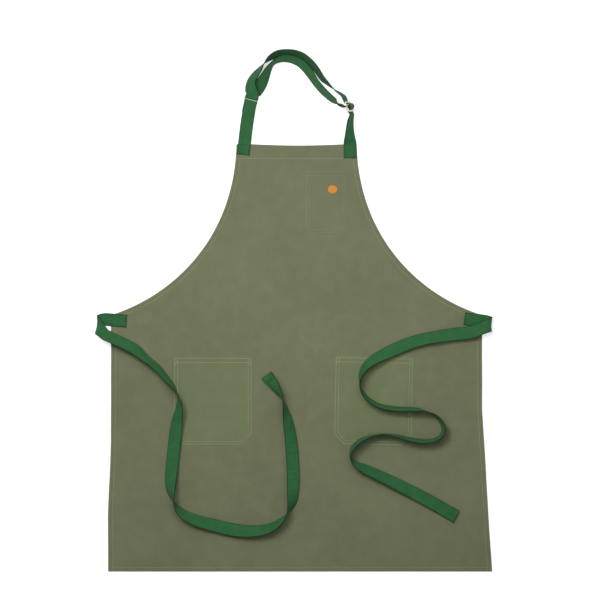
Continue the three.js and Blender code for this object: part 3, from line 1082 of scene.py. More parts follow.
    def stitch(
        self, rows: list[tuple[Vector, Vector]], directions: list[tuple[tuple[Vector, float], ...]]
    ) -> None:
        """Sews the hems with one row of thread each.

        Args:
            rows: The edges' points.
            directions: The way into the cloth at each of them.
        """
        size = self.pattern
        thread = Stitching()
        height = PANEL_MIDDLE + CLOTH / 2 + 0.02
        places: list[Matrix] = []
        depth = 8.4
        for which in (0, 1):
            moved_in = [row[which] + way[which][0] * depth for row, way in zip(rows, directions)]
            line = [point for point in moved_in if size.hem_y + 1 < point.y < size.bib_top - self.bib_hem]
            places += thread.along(line, height)
        inset = 8
        hem_y = size.hem_y + inset
        hem = [Vector((size.hem_left + inset, hem_y, 0)), Vector((size.hem_right - inset, hem_y, 0))]
        places += thread.along(hem, height)
        bib_y = size.bib_top - self.bib_hem + 1
        half = size.bib_half - 2
        ends = [Vector((size.centre_x - half, bib_y, 0)), Vector((size.centre_x + half, bib_y, 0))]
        places += thread.along(ends, height)
        sewn = repeated("hem_stitching", thread.unit(), places, self.looks.khaki_thread, Slot.CANVAS)
        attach(sewn, APRON)


@dataclass
class Pocket:
    """A patch pocket with cut-off lower corners, sewn round three sides.

    Attributes:
        node: The frame's node that it stands for.
        looks: The finishes.
        mouth: Middle of the pocket's mouth.
        width: Across the mouth.
        height: From mouth to bottom.
        corner: How much is cut off each lower corner.
        turn: How far it is turned, in degrees.
        rows: How far in from the edge its rows of stitches run.
        mouth_rows: How far down from the mouth its rows of stitches run.
        rest: The height of its underside.
        same_cloth: Whether it is cut from the same piece of canvas as the panel.
        marks: Where it has its vertices, in from an edge.
        turnings: Width of the cloth turned under all round; not used.
    """

    node: str
    looks: Wardrobe
    mouth: Vector
    width: float
    height: float
    corner: float
    turn: float = 0.0
    rows: tuple[float, ...] = (1.8, 7.2)
    mouth_rows: tuple[float, ...] = (3.4, 11.2)
    rest: float = ON_PANEL
    same_cloth: bool = False
    marks: tuple[float, ...] = (0, 0.5, 1.2, 2.2, 3.4, 4.8, 6, 7, 8, 9.4, 11.5, 14.5)
    turnings: float = 6.0

    def frame(self) -> Matrix:
        """Turns the pocket's own places, with its mouth's middle at the origin, to the apron's."""
        return Matrix.Translation(self.mouth) @ Matrix.Rotation(math.radians(self.turn), 4, "Z")

    def half_at(self, down: float) -> float:
        """Half the pocket's width at a distance below its mouth."""
        cut = max(down - (self.height - self.corner), 0)
        return self.width / 2 - cut

    def levels(self) -> list[float]:
        """Distances below the mouth, closer together at both ends and at the corners."""
        top = list(self.marks)
        bottom = [self.height - mark for mark in reversed(self.marks)]
        count = max(int((bottom[0] - top[-1]) / 4), 4)
        return top + [mix(top[-1], bottom[0], k / count) for k in range(1, count)] + bottom

    def build(self) -> bpy.types.Object:
        """Makes the pocket and its stitching.

        Returns:
            The pocket's sheet.
        """
        levels = self.levels()
        middle = max(int((self.width - 2 * self.marks[-1]) / 4), 6)
        columns = 2 * len(self.marks) + middle
        turn = self.frame()

        def place(column: int, row: int) -> Vector:
            """The place from the mouth's middle."""
            down = levels[row]
            half = self.half_at(down)
            if column < len(self.marks):
                across = self.marks[column] - half
            elif column >= columns - len(self.marks):
                across = half - self.marks[columns - 1 - column]
            else:
                inner = half - self.marks[-1]
                share = (column - len(self.marks) + 1) / (middle + 1)
                across = mix(-inner, inner, share)
            return Vector((across, -down, 0))

        shape = grid(columns, len(levels), place)
        rubbed = shape.verts.layers.float.new("rubbed")
        for vert in shape.verts:
            across, down = vert.co.x, -vert.co.y
            edge = self.edge_distance(across, down)
            seam = max(dip(edge - row, 1.3) for row in self.rows)
            seam = max(seam, *(dip(down - row, 1.3) for row in self.mouth_rows))
            pucker = 0.5 + 0.5 * noise.noise(Vector((across / 5, down / 5, self.width)))
            sewn_down = 1 - smooth(0, 1.4, edge)
            puff = 0.22 * smooth(8, 40, edge) * smooth(-20, 30, down)
            vert[rubbed] = min(max(dip(min(edge, down), 1.3), 0.3 * seam * pucker), 1)
            spot = turn @ Vector((across, -down, 0))
            sink = 0.16 * seam * (0.5 + pucker) + 0.16 * sewn_down
            height = self.rest + CLOTH / 2 + lie(spot.x, spot.y) + puff - sink
            vert.co = Vector((spot.x, spot.y, height))
        bmesh.ops.recalc_face_normals(shape, faces=shape.faces)
        cloth = self.looks.canvas if self.same_cloth else self.looks.pocket
        piece = finished(f"{self.node}_cloth", shape, cloth, Slot.POCKET)
        thicken(piece)
        soft = piece.modifiers.new("edge", "BEVEL")
        soft.width = 0.16 * MM
        soft.segments = 2
        soft.limit_method = "ANGLE"
        soft.angle_limit = math.radians(60)
        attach(piece, APRON)
        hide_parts(self.node)
        self.stitch()
        return piece

    def edge_distance(self, across: float, down: float) -> float:
        """How far a place is from the nearest of the three sewn sides."""
        side = self.width / 2 - abs(across)
        bottom = self.height - down
        chamfer = (side + bottom - self.corner) / math.sqrt(2)
        return max(min(side, bottom, chamfer), 0)

    def outline(self, inset: float) -> list[Vector]:
        """The three sewn sides, moved in from the edge, from mouth to mouth."""
        half = self.width / 2 - inset
        bottom = self.height - inset
        cut = self.corner - inset * (2 - math.sqrt(2))
        corners = [(-half, 1.5), (-half, bottom - cut), (cut - half, bottom), (half - cut, bottom)]
        corners += [(half, bottom - cut), (half, 1.5)]
        turn = self.frame()
        return [turn @ Vector((across, -down, 0)) for across, down in corners]

    def stitch(self) -> None:
        """Sews the pocket: double rows round it and at its mouth, and a triangle at each upper corner."""
        thread = Stitching(length=2.8, pitch=3.3, radius=0.32)
        height = self.rest + CLOTH + 0.02
        places: list[Matrix] = []
        for row in self.rows:
            places += thread.along(self.outline(row), height)
        turn = self.frame()
        half = self.width / 2 - 1.5
        for row in self.mouth_rows:
            line = [turn @ Vector((-half, -row, 0)), turn @ Vector((half, -row, 0))]
            places += thread.along(line, height)
        for sign in (-1, 1):
            outer = sign * (self.width / 2 - self.rows[0])
            inner = sign * (self.width / 2 - self.rows[1] - 1.5)
            slant = [Vector((outer, -self.mouth_rows[1] - 7, 0)), Vector((inner, -2, 0))]
            places += thread.along([turn @ point for point in slant], height)
        colour = self.looks.canvas_thread if self.same_cloth else self.looks.khaki_thread
        sewn = repeated(f"{self.node}_stitching", thread.unit(), places, colour, Slot.POCKET)
        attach(sewn, APRON)


@dataclass
class Emblem:
    """A plain round dot in satin stitch on the bib pocket.

    Attributes:
        looks: The finishes.
        strand: From one strand to the next.
    """

    looks: Wardrobe
    strand: float = 0.85

    def build(self) -> bpy.types.Object:
        """Lays strands side by side across the dot, each as long as its chord.

        Returns:
            The dot.
        """
        low, high = (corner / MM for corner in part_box("emblem"))
        centre = (low + high) / 2
        radius = (high.x - low.x) / 2
        shape = bmesh.new()
        bmesh.ops.create_uvsphere(shape, u_segments=8, v_segments=14, radius=1)
        upright = Matrix.Rotation(math.radians(90), 3, "X")
        bmesh.ops.rotate(shape, cent=(0, 0, 0), matrix=upright, verts=shape.verts)
        unit = meshed("strand_unit", shape)
        places = []
        count = int(radius / self.strand)
        for k in range(-count, count + 1):
            offset = k * self.strand
            chord = math.sqrt(max(radius * radius - offset * offset, 0))
            ragged = 0.25 * noise.noise(Vector((k * 0.7, 2.2, 0)))
            size = Matrix.Diagonal((self.strand * 0.58, chord + ragged, 0.5, 1))
            spot = Vector((centre.x + offset, centre.y, low.z + 0.12 + lie(centre.x, centre.y)))
            places.append(Matrix.Translation(spot) @ size)
        dot = repeated("satin_dot", unit, places, self.looks.satin, Slot.EMBROIDERY)
        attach(dot, APRON)
        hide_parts("emblem")
        return dot


# ---- webbing -------------------------------------------------------------------------------------


@dataclass(frozen=True)
class Station:
    """A place on the webbing.

    Attributes:
        point: A point on its middle line.
        across: The direction across its width there.
    """

    point: Vector
    across: Vector


def lay_out(rows: Sequence[tuple[float, ...]], origin: Vector, base: float) -> list[Station]:
    """Stations from rows of x, y, lean and lift.

    Args:
        rows: Lean is by how many degrees the width turns from lying flat, about the way the webbing
            runs. Lift is how far its lower edge is above the base, and may be left out.
        origin: The place that x and y are measured from.
        base: The height of the surface that the webbing lies on.

    Returns:
        A station for each row.
    """
    plan = [Vector((origin.x + row[0], origin.y + row[1], 0)) for row in rows]
    curve = Route(plan)
    stations = []
    for k, row in enumerate(rows):
        lean = math.radians(row[2])
        lift = row[3] if len(row) > 3 else 0
        left = UP.cross(curve.tangent(k / (len(rows) - 1))).normalized()
        across = left * math.cos(lean) + UP * math.sin(lean)
        rise = HALF_WEB * abs(math.sin(lean)) + HALF_THICK * abs(math.cos(lean))
        stations.append(Station(plan[k] + UP * (base + lift + rise), across))
    return stations


def webbing_section() -> list[tuple[float, float]]:
    """The outline of the webbing's cut end, closed on itself.

    Returns:
        Places across and out. The selvedges are a little thicker than the middle.
    """
    steps = 8
    flat = HALF_WEB - 0.45
    half = []
    for k in range(steps + 1):
        across = mix(flat, -flat, k / steps)
        half.append((across, HALF_THICK - 0.1 * (1 - dip(flat - abs(across), 3))))
    half += [(0.12 - HALF_WEB, 0.5), (-HALF_WEB, 0), (0.12 - HALF_WEB, -0.5)]
    other = [(-across, -out) for across, out in half]
    return half + other + half[:1]


def no_change(_: Vector) -> float:
    """Leaves the webbing where its stations put it."""
    return 0.0


@dataclass
class WebbingRun:
    """One length of webbing, from which pieces are cut between two of its stations.

    Attributes:
        stations: Where it goes.
        looks: The finishes.
        settle: How much higher than its stations it lies at a place.
        step: From one ring of the mesh to the next.
        ripples: Stretches where the webbing is puckered: two stations and how strongly.
    """

    stations: list[Station]
    looks: Wardrobe
    settle: Callable[[Vector], float] = no_change
    step: float = 2.0
    ripples: tuple[tuple[int, int, float], ...] = ()

    def __post_init__(self) -> None:
        """Measures the run, ring by ring."""
        self.route = Route([each.point for each in self.stations], [each.across for each in self.stations])
        self.marks = [(0.0, 0.0)]
        length = 0.0
        for span in range(self.route.spans):
            count = max(math.ceil(self.route.span_length(span) / self.step), 2)
            for k in range(count):
                share = (span + (k + 1) / count) / self.route.spans
                length += (self.route.at(share) - self.route.at(self.marks[-1][0])).length
                self.marks.append((share, length))

    def stretch(self, first: int, last: int) -> list[tuple[float, float]]:
        """The rings' shares and lengths between two stations."""
        low = first / self.route.spans - 1e-9
        high = last / self.route.spans + 1e-9
        return [mark for mark in self.marks if low <= mark[0] <= high]

    def ring(self, share: float, length: float) -> Callable[[float, float], Vector]:
        """Gives the place of a section's point at one ring.

        Args:
            share: Where on the route.
            length: How far along it, for the small unevenness of the weave.

        Returns:
            A function of the places across and out.
        """
        middle = self.route.at(share)
        across = self.route.across_at(share).normalized()
        out = self.route.tangent(share).cross(across)
        slant = 1 / out.length
        out.normalize()
        waver = 0.12 * noise.noise(Vector((length / 22, 4.4, 0)))
        pucker = 0.0
        beat = noise.noise(Vector((length / 17, 8.1, 0)))
        for start, stop, strength in self.ripples:
            first, last = start / self.route.spans, stop / self.route.spans
            inside = smooth(first, first + 0.03, share) * (1 - smooth(last - 0.03, last, share))
            pucker += strength * inside * math.sin(length / 1.7 + 2.4 * beat) * (0.7 + 0.5 * beat)

        def place(sideways: float, outwards: float) -> Vector:
            """The place of a point of the section, a little uneven."""
            frayed = 0.1 * noise.noise(Vector((length / 6, sideways / 9, 6.6)))
            width = 1 + 0.006 * noise.noise(Vector((length / 30, 1.1, math.copysign(2, sideways))))
            offset = outwards + waver + frayed + pucker * (1 - 0.3 * abs(sideways) / HALF_WEB)
            point = middle + across * (sideways * slant * width) + out * offset
            return point + UP * self.settle(point)

        return place

    def cut(self, name: str, first: int, last: int) -> bpy.types.Object:
        """Makes the piece between two stations, closed at both ends.

        Args:
            name: The piece's name.
            first: Index of its first station.
            last: Index of its last station.

        Returns:
            The piece, with a weave map of metres along and across.
        """
        marks = self.stretch(first, last)
        outline = webbing_section()
        places = [self.ring(*mark) for mark in marks]
        columns, rows = len(outline), len(marks)
        shape = grid(columns, rows, lambda column, row: places[row](*outline[column]))
        weave = shape.loops.layers.uv["weave"]
        for face in shape.faces:
            for loop in face.loops:
                column = round(loop[weave].uv.x * (columns - 1))
                row = round(loop[weave].uv.y * (rows - 1))
                loop[weave].uv = (marks[row][1] * MM, outline[column][0] * MM)
        bmesh.ops.remove_doubles(shape, verts=shape.verts, dist=1e-5)
        open_edges = [edge for edge in shape.edges if edge.is_boundary]
        bmesh.ops.holes_fill(shape, edges=open_edges, sides=0)
        bmesh.ops.recalc_face_normals(shape, faces=shape.faces)
        return finished(name, shape, self.looks.webbing, Slot.WEBBING)

    def length_between(self, first: int, last: int) -> float:
        """How much webbing there is between two stations."""
        marks = self.stretch(first, last)
        return marks[-1][1] - marks[0][1]

    def path(self, first: int, last: int) -> list[Vector]:
        """The middle line between two stations, in metres."""
        return [self.route.at(share) * MM for share, _ in self.stretch(first, last)]


def sewn_box(
    name: str,
    raw_end: Vector,
    far_end: Vector,
    top: float,
    looks: Wardrobe,
    rows: tuple[float, ...] = (1.2, 2.7),
) -> None:
    """Sews a webbing end to the cloth with a box of dark thread, doubled beside its cut end.

    Args:
        name: The piece's name.
        raw_end: Middle of the webbing's cut end.
        far_end: Middle of the webbing where the box ends.
        top: The webbing's upper surface.
        looks: The finishes.
        rows: How far from the cut end its rows run.
    """
    thread = Stitching(length=2.2, pitch=2.45, radius=0.45)
    from_selvedge = 2.1
    along = (far_end - raw_end).normalized()
    side = UP.cross(along) * (HALF_WEB - from_selvedge)
    start, stop = raw_end + along * rows[0], far_end - along * rows[0]
    lines = [[raw_end + along * row - side, raw_end + along * row + side] for row in rows]
    lines += [[stop - side, stop + side], [start - side, stop - side], [start + side, stop + side]]
    places = [place for line in lines for place in thread.along(line, top)]
    sewn = repeated(name, thread.unit(), places, looks.green_thread, Slot.WEBBING)
    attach(sewn, APRON)


# ---- metal ---------------------------------------------------------------------------------------


@dataclass
class CastFrame:
    """A flat cast frame with one or more windows, and all its edges rounded.

    Attributes:
        across: The windows' and bars' limits across, from low to high.
        along: The same the other way.
        windows: Which cells are open, by column and row.
        thick: The frame's thickness.
        corner: Rounding of its outer corners.
        inner_corner: Rounding of the windows' corners.
        rim: Rounding of its rims.
    """

    across: tuple[float, ...]
    along: tuple[float, ...]
    windows: tuple[tuple[int, int], ...]
    thick: float
    corner: float
    inner_corner: float
    rim: float

    def build(self, name: str, place: Matrix, material: bpy.types.Material) -> bpy.types.Object:
        """Cuts the windows out of a sheet, thickens it and rounds its edges.

        Args:
            name: The piece's name.
            place: Turns and moves the frame from its own axes to the apron's.
            material: The finish.

        Returns:
            The frame.
        """
        low = -self.thick / 2
        columns, rows = len(self.across), len(self.along)
        shape = grid(columns, rows, lambda column, row: Vector((self.across[column], self.along[row], low)))
        opened = [face for face in shape.faces if self.is_window(face)]
        bmesh.ops.delete(shape, geom=opened, context="FACES")
        flat = shape.faces[:]
        raised = bmesh.ops.extrude_face_region(shape, geom=flat)["geom"]
        lifted = [each for each in raised if isinstance(each, bmesh.types.BMVert)]
        bmesh.ops.translate(shape, vec=(0, 0, self.thick), verts=lifted)
        bmesh.ops.recalc_face_normals(shape, faces=shape.faces)
        for outer, size in ((True, self.corner), (False, self.inner_corner)):
            posts = [edge for edge in shape.edges if self.is_post(edge) and self.is_outer(edge) == outer]
            self.rounded(shape, posts, size)
        rims = [edge for edge in shape.edges if edge.calc_face_angle(0) > math.radians(60)]
        self.rounded(shape, rims, self.rim)
        bmesh.ops.recalc_face_normals(shape, faces=shape.faces)
        shape.transform(place)
        return finished(name, shape, material, Slot.HARDWARE)

    @staticmethod
    def rounded(shape: bmesh.types.BMesh, edges: list[bmesh.types.BMEdge], size: float) -> None:
        """Rounds edges off."""
        bmesh.ops.bevel(
            shape, geom=edges, offset=size, segments=4, profile=0.5, affect="EDGES", material=-1
        )

    def is_window(self, face: bmesh.types.BMFace) -> bool:
        """Whether a cell of the sheet is to be open."""
        middle = face.calc_center_median()
        column = sum(middle.x > edge for edge in self.across) - 1
        row = sum(middle.y > edge for edge in self.along) - 1
        return (column, row) in self.windows

    def is_post(self, edge: bmesh.types.BMEdge) -> bool:
        """Whether an edge stands upright at a corner."""
        first, second = (vert.co for vert in edge.verts)
        upright = (first.xy - second.xy).length < 1e-6
        return upright and edge.calc_face_angle(0) > math.radians(30)

    def is_outer(self, edge: bmesh.types.BMEdge) -> bool:
        """Whether an upright edge is at one of the frame's four outer corners."""
        spot = edge.verts[0].co
        return abs(spot.x) > self.across[-1] - 1e-4 and abs(spot.y) > self.along[-1] - 1e-4


# ---- neck loop -----------------------------------------------------------------------------------


OUTER_RUN = (
    (-88, 104, 160, 5.5), (-89, 114, 142, 3.5), (-86.5, 124, 132, 1.5), (-80, 134, 127, 0.5),
    (-72, 144, 117, 0), (-63, 156, 96, 0), (-52, 166, 76, 0), (-36, 174, 64, 0), (-13, 176, 64, 0),
    (7, 171.5, 64, 0), (21, 163, 66, 0), (33, 151, 67, 0), (42.5, 138, 69, 0), (50.5, 126, 74, 0),
    (59.5, 117.5, 82, 0.2), (68, 109.5, 92, 0.8), (76.5, 102.5, 101, 1.8), (84.5, 97, 107, 2.8),
)  # fmt: skip
INNER_RUN = (
    (-78.5, 104, 3, 2.2), (-69, 117, 24, 1.2), (-61, 131, 48, 0.2), (-54, 145, 66, 0.2), (-46, 156, 80, 0.2),
    (-36, 163, 71, 0.2), (-22, 166, 63, 0.2), (-7, 163.5, 60, 0.2), (7, 157, 56, 0.2), (19, 146, 54, 0.2),
    (29, 132, 58, 0.2), (39, 117, 63, 0.2), (52, 102, 64, 0.2), (64, 90.5, 68, 0.5), (75, 82, 76, 1.5),
)  # fmt: skip
LEG = ((104.8, 44, 118, 2.8), (103.6, 25, 131, 2.4), (103.8, 10, 150, 1.8))
STRAP_FOOT = ((104.2, 0, 180), (104.4, -14, 180), (104.6, -27.5, 180))
TAB = (
    (-104, -21, 0), (-102.8, -10, 0), (-101.65, 0, 0), (-100.6, 8, 0), (-97, 38, 0, 0.6), (-93.5, 60, 0, 2),
)  # fmt: skip


@dataclass
class NeckLoop:
    """The neck loop: sewn tab, ring, strap and three-bar slider.

    Attributes:
        pattern: The apron's main sizes.
        looks: The finishes.
        play: How much wider a ring or slider is inside than the webbing.
        wire: The ring's wire.
        ring_turn: The way the ring's long bars run, in degrees.
        ring_clear: Between the tab's turn and the strap's, inside the ring.
        swing_room: Between the ring's wire and the strap's turn.
        bar: Width of the slider's three bars.
        window: Width of its two windows.
        slider_thick: Its thickness.
        slider_end: Width of its two end members.
        slider_heading: The way the strap runs through it, in degrees.
        slider_lean: How far it stands up from lying flat, in degrees.
        drop_to_sleeve: How much lower the strap's inner run is beside the slider.
        strap_straight: How far past the slider's middle the strap runs straight.
    """

    pattern: Pattern
    looks: Wardrobe
    play: float = 1.5
    wire: float = 2.2
    ring_turn: float = -14.0
    ring_clear: float = 0.7
    swing_room: float = 1.3
    bar: float = 2.6
    window: float = 6.5
    slider_thick: float = 2.0
    slider_end: float = 3.6
    slider_heading: float = -66.0
    slider_lean: float = 112.0
    drop_to_sleeve: float = 2.2
    strap_straight: float = 16.0

    def __post_init__(self) -> None:
        """Works out the places of the metal pieces from the frame."""
        self.neck = Vector((self.pattern.centre_x, self.pattern.bib_top, 0))
        self.ring_centre = self.middle_of("neck_ring")
        self.ring_along = heading(self.ring_turn)
        self.ring_up = heading(self.ring_turn + 90)
        reach = self.wire / 2 * math.sqrt(2)
        self.tab_turn = reach + LAYER_GAP + HALF_THICK
        self.strap_turn = reach + self.swing_room + HALF_THICK
        self.spacing = self.tab_turn + self.strap_turn + WEBBING_THICK + self.ring_clear
        self.slider_centre = self.middle_of("slider")
        lean = math.radians(self.slider_lean)
        self.slider_t = heading(self.slider_heading)
        self.slider_flat = heading(self.slider_heading + 90)
        self.slider_s = self.slider_flat * math.cos(lean) + UP * math.sin(lean)
        self.slider_n = self.slider_s.cross(self.slider_t)
        self.behind = -(self.slider_thick / 2 + LAYER_GAP + HALF_THICK)

    @staticmethod
    def middle_of(node: str) -> Vector:
        """The middle of a node's box, in millimetres."""
        low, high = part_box(node)
        return (low + high) / 2 / MM

    def ring_point(self, up: float, rise: float) -> Vector:
        """A point in the ring's own middle plane."""
        return self.ring_centre + self.ring_up * up + UP * rise

    def slider_station(self, along: float, out: float) -> Station:
        """A station square to the slider, at its mid-width."""
        return Station(self.slider_centre + self.slider_t * along + self.slider_n * out, self.slider_s)

    def around_bar(
        self, up: float, radius: float, side: int, across: Vector, straight: float
    ) -> list[Station]:
        """Stations once round one of the ring's long bars, from above it to below it.

        Args:
            up: The bar's place from the ring's middle.
            radius: How far the webbing's middle line keeps from the bar's.
            side: 1 where the turn's far side is towards the loop, and -1 where it is towards the bib.
            across: The direction across the webbing.
            straight: How far back the two straight ends reach.

        Returns:
            The stations.
        """
        steps = 6
        stations = [Station(self.ring_point(up - side * straight, radius), across)]
        for k in range(steps + 1):
            turn = math.pi * k / steps
            place = self.ring_point(up + side * radius * math.sin(turn), radius * math.cos(turn))
            stations.append(Station(place, across))
        stations.append(Station(self.ring_point(up - side * straight, -radius), across))
        return stations

    def settled(self, point: Vector) -> float:
        """How the webbing follows the cloth where it is sewn to it."""
        on_cloth = 1 - smooth(-2, 10, point.y - self.pattern.bib_top)
        return on_cloth * (lie(point.x, point.y) - 0.2)

    def build(self) -> None:
        """Makes the metal, the tab, the strap and their stitching."""
        self.build_tab()
        self.build_strap()
        self.build_ring()
        self.build_slider()
        top = ON_PANEL + WEBBING_THICK - 0.2
        for name, rows in (("neck_tab_box", TAB[:3]), ("strap_foot_box", STRAP_FOOT[::-1])):
            raw_end, far_end = (self.neck + Vector((row[0], row[1], 0)) for row in (rows[0], rows[-1]))
            sewn_box(name, raw_end, far_end, top, self.looks)

    def build_tab(self) -> None:
        """Runs the tab from the bib's corner up to the ring, round its lower bar and back under."""
        across = -self.ring_along
        stations = lay_out(TAB, self.neck, ON_PANEL)
        low_bar = -self.spacing / 2
        stations += self.around_bar(low_bar, self.tab_turn, 1, across, 6)
        under = self.ring_point(low_bar - 22, 0)
        under.z = WEBBING_THICK
        stations.append(Station(under, across))
        run = WebbingRun(stations, self.looks, self.settled)
        tab = run.cut("neck_tab_webbing", 0, len(stations) - 1)
        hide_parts("neck_tab_sewn_end", "neck_tab")
        self.hinge(tab, stations[2].point)

    def hinge(self, piece: bpy.types.Object, foot: Vector) -> None:
        """Bakes the placement of webbing that is sewn to the bib into its mesh; it gives it no bend where it
        leaves the bib.

        Args:
            piece: The webbing.
            foot: Its middle line where it passes the bib's edge; not used.
        """
        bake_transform(piece)

    def sleeve(self) -> list[Station]:
        """The strap's end, wrapped once round the slider's middle bar.

        Returns:
            Stations from the cut end to the last place on the bar.
        """
        wrap = (
            (-0.5, -2.15), (0.8, -2.15), (2.0, -1.75), (2.4, 0),
            (2.0, 1.8), (0, 2.15), (-2.0, 1.8), (-2.4, 0),
        )  # fmt: skip
        return [self.slider_station(along, out) for along, out in wrap]

    def over_bar(self) -> list[Station]:
        """The strap's hump over the middle bar and the sleeve on it.

        Returns:
            Stations from one side of the slider to the other.
        """
        sleeve_along = self.bar / 2 + LAYER_GAP + WEBBING_THICK
        sleeve_out = self.slider_thick / 2 + LAYER_GAP + WEBBING_THICK
        crest_room = 1
        past = sleeve_along + LAYER_GAP + HALF_THICK
        crest = sleeve_out + LAYER_GAP + HALF_THICK + crest_room - self.behind
        ramp = ((2.7, 0), (1.5, 0.17), (0.8, 0.42), (0.3, 0.73), (-1.3, 0.96), (-past, 1))
        rise = [(-past - outside, self.behind + share * crest) for outside, share in ramp]
        fall = [(-along, out) for along, out in reversed(rise[:-1])]
        route = [(-11, self.behind), *rise, *fall, (11, self.behind)]
        return [self.slider_station(along, out) for along, out in route]

    def inner_end(self) -> list[Station]:
        """The stations between the inner run and the sleeve, from the sleeve outwards."""
        out = self.slider_thick / 2 + LAYER_GAP + WEBBING_THICK
        square = [self.slider_station(-1.9, -out - 1.3), self.slider_station(-2.3, -out - 4.7)]
        level = []
        for along, sideways in ((-6, -11.5), (-12, -15.8)):
            point = self.slider_centre + self.slider_t * along + self.slider_flat * sideways
            level.append(Station(point - UP * self.drop_to_sleeve, self.slider_s))
        return square + level

    def build_strap(self) -> None:
        """Runs the strap from the slider's bar to the ring and back through the slider to the bib."""
        half = self.spacing / 2
        strap_end = 8 - half
        inner = [Station(each.point, -each.across) for each in reversed(lay_out(INNER_RUN, self.neck, 0))]
        joined = [Station(each.point, -each.across) for each in self.sleeve() + self.inner_end()]
        turn = self.around_bar(half, self.strap_turn, -1, self.ring_along, strap_end)[::-1]
        outer = [Station(self.ring_point(half + strap_end + 3, self.strap_turn), self.ring_along)]
        outer += lay_out(OUTER_RUN, self.neck, LAYER_GAP)
        outer += [self.slider_station(along, self.behind) for along in (-23, -self.strap_straight)]
        under = [Station(self.ring_point(half + strap_end + 3, -self.strap_turn), self.ring_along)]
        loop = joined + inner + under + turn + outer
        crest = self.over_bar()
        leg = [self.slider_station(self.strap_straight, self.behind)]
        leg += lay_out((*LEG, (*STRAP_FOOT[0], ON_PANEL)), self.neck, 0)[:-1]
        foot = lay_out(STRAP_FOOT, self.neck, ON_PANEL)
        run = WebbingRun(loop + crest + leg + foot, self.looks, self.settled)
        window = len(loop)
        knee = len(loop + crest) + 2
        last = len(run.stations) - 1
        body = run.cut("neck_strap_loop", 0, window)
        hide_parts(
            "strap_end_sleeve",
            "neck_strap_inner_end",
            "neck_strap_inner",
            "neck_strap_turn",
            "neck_strap_outer",
        )
        self.slide(body, -35, -13)
        crossing = run.cut("neck_strap_crest", window, knee)
        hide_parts("neck_strap_over_bar")
        self.slide(crossing, 10, 32)
        sewn = run.cut("neck_strap_foot", knee, last)
        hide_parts("neck_strap_leg", "neck_strap_sewn_end")
        self.hinge(sewn, foot[0].point)

    def slide(self, piece: bpy.types.Object, start: float, end: float) -> None:
        """Bakes the strap's placement into its mesh; it sets up no give where the slider moves along it.

        Args:
            piece: The webbing.
            start: Where the give starts, along the strap from the slider's middle.
            end: Where it ends.
        """
        near, far = ((self.slider_centre + self.slider_t * along) * MM for along in (start, end))
        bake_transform(piece)
        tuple(near)
        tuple(far)

    def build_ring(self) -> None:
        """Makes the rectangular ring out of round wire."""
        inside = (WEBBING_WIDTH + self.play) / 2
        hole = (self.spacing - self.wire) / 2
        frame = CastFrame(
            across=(-inside - self.wire, -inside, inside, inside + self.wire),
            along=(-hole - self.wire, -hole, hole, hole + self.wire),
            windows=((1, 1),),
            thick=self.wire,
            corner=2.2,
            inner_corner=0.7,
            rim=0.75,
        )
        place = self.placed(self.ring_along, self.ring_up, UP, self.ring_centre)
        ring = frame.build("neck_ring_wire", place, self.looks.brass)
        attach(ring, "ring")
        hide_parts("neck_ring")

    def build_slider(self) -> None:
        """Makes the three-bar slider."""
        inside = (WEBBING_WIDTH + self.play) / 2
        near = self.bar / 2
        far = near + self.window
        edge = far + self.bar
        frame = CastFrame(
            across=(-inside - self.slider_end, -inside, inside, inside + self.slider_end),
            along=(-edge, -far, -near, near, far, edge),
            windows=((1, 1), (1, 3)),
            thick=self.slider_thick,
            corner=3.0,
            inner_corner=1.0,
            rim=0.6,
        )
        place = self.placed(self.slider_s, self.slider_t, self.slider_n, self.slider_centre)
        slider = frame.build("three_bar_slider", place, self.looks.brass)
        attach(slider, "slider")
        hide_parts("slider")

    @staticmethod
    def placed(x: Vector, y: Vector, z: Vector, origin: Vector) -> Matrix:
        """A turn and move that takes the own axes to the given directions."""
        return Matrix.Translation(origin) @ Matrix((x, y, z)).transposed().to_4x4()


# ---- waist ties ----------------------------------------------------------------------------------


TIE_LEFT = (
    (2, -43, -34, 7.5), (25, -54, -38, 4.5), (49, -67, -38, 1.5), (70, -85, -58), (92, -103, -62),
    (109, -123, -67), (123, -140, -80), (132, -158, -100), (134, -177, -123), (131, -197, -140),
    (128, -216, -158), (125, -243, -171), (121, -277, -171), (118, -310, -160), (117, -333, -145),
    (119, -350, -120), (123.5, -364, -93), (133, -378, -64), (148, -390, -48), (174, -401, -34),
    (203, -409, -22), (236, -417, -20), (265, -419.5, -30), (292, -418, -43), (316, -410, -58),
    (333, -398, -74), (345, -383, -97), (352, -366, -130), (355, -343, -155), (355, -306, -170),
    (353, -267, -168), (350, -236, -152), (345, -206, -138), (340, -183, -112), (335, -166, -90),
    (327, -150, -60), (316, -134, -36), (304, -117, -20),
)  # fmt: skip
TIE_RIGHT = (
    (-4, -26, 12, 8), (-27, -34, 8, 7), (-53, -37, 6, 5), (-101, -44, 22, 1.5), (-131, -51, 20, 0.5),
    (-160, -62, 16), (-189, -75, 30), (-214, -88, 45), (-230, -103, 62), (-238, -120, 80),
    (-238, -138, 96), (-230, -155, 104), (-216, -168, 107), (-193, -178, 107), (-164, -182, 107),
    (-135, -182.5, 104), (-111, -186, 92), (-92, -195, 80), (-79, -210, 76), (-76.5, -227, 80),
    (-89, -240, 80), (-114, -244.5, 76), (-142, -241, 76), (-168, -234, 82), (-193, -231, 90),
    (-218, -235, 86), (-241, -246, 78), (-254.5, -261, 80), (-257, -275, 92), (-249, -287, 110),
    (-230, -298, 130), (-193, -315, 142), (-144, -340, 158), (-101, -363, 168), (-52, -391, 172),
)  # fmt: skip
LEFT_RIPPLES = ((27, 32, 0.5), (10, 14, 0.22))


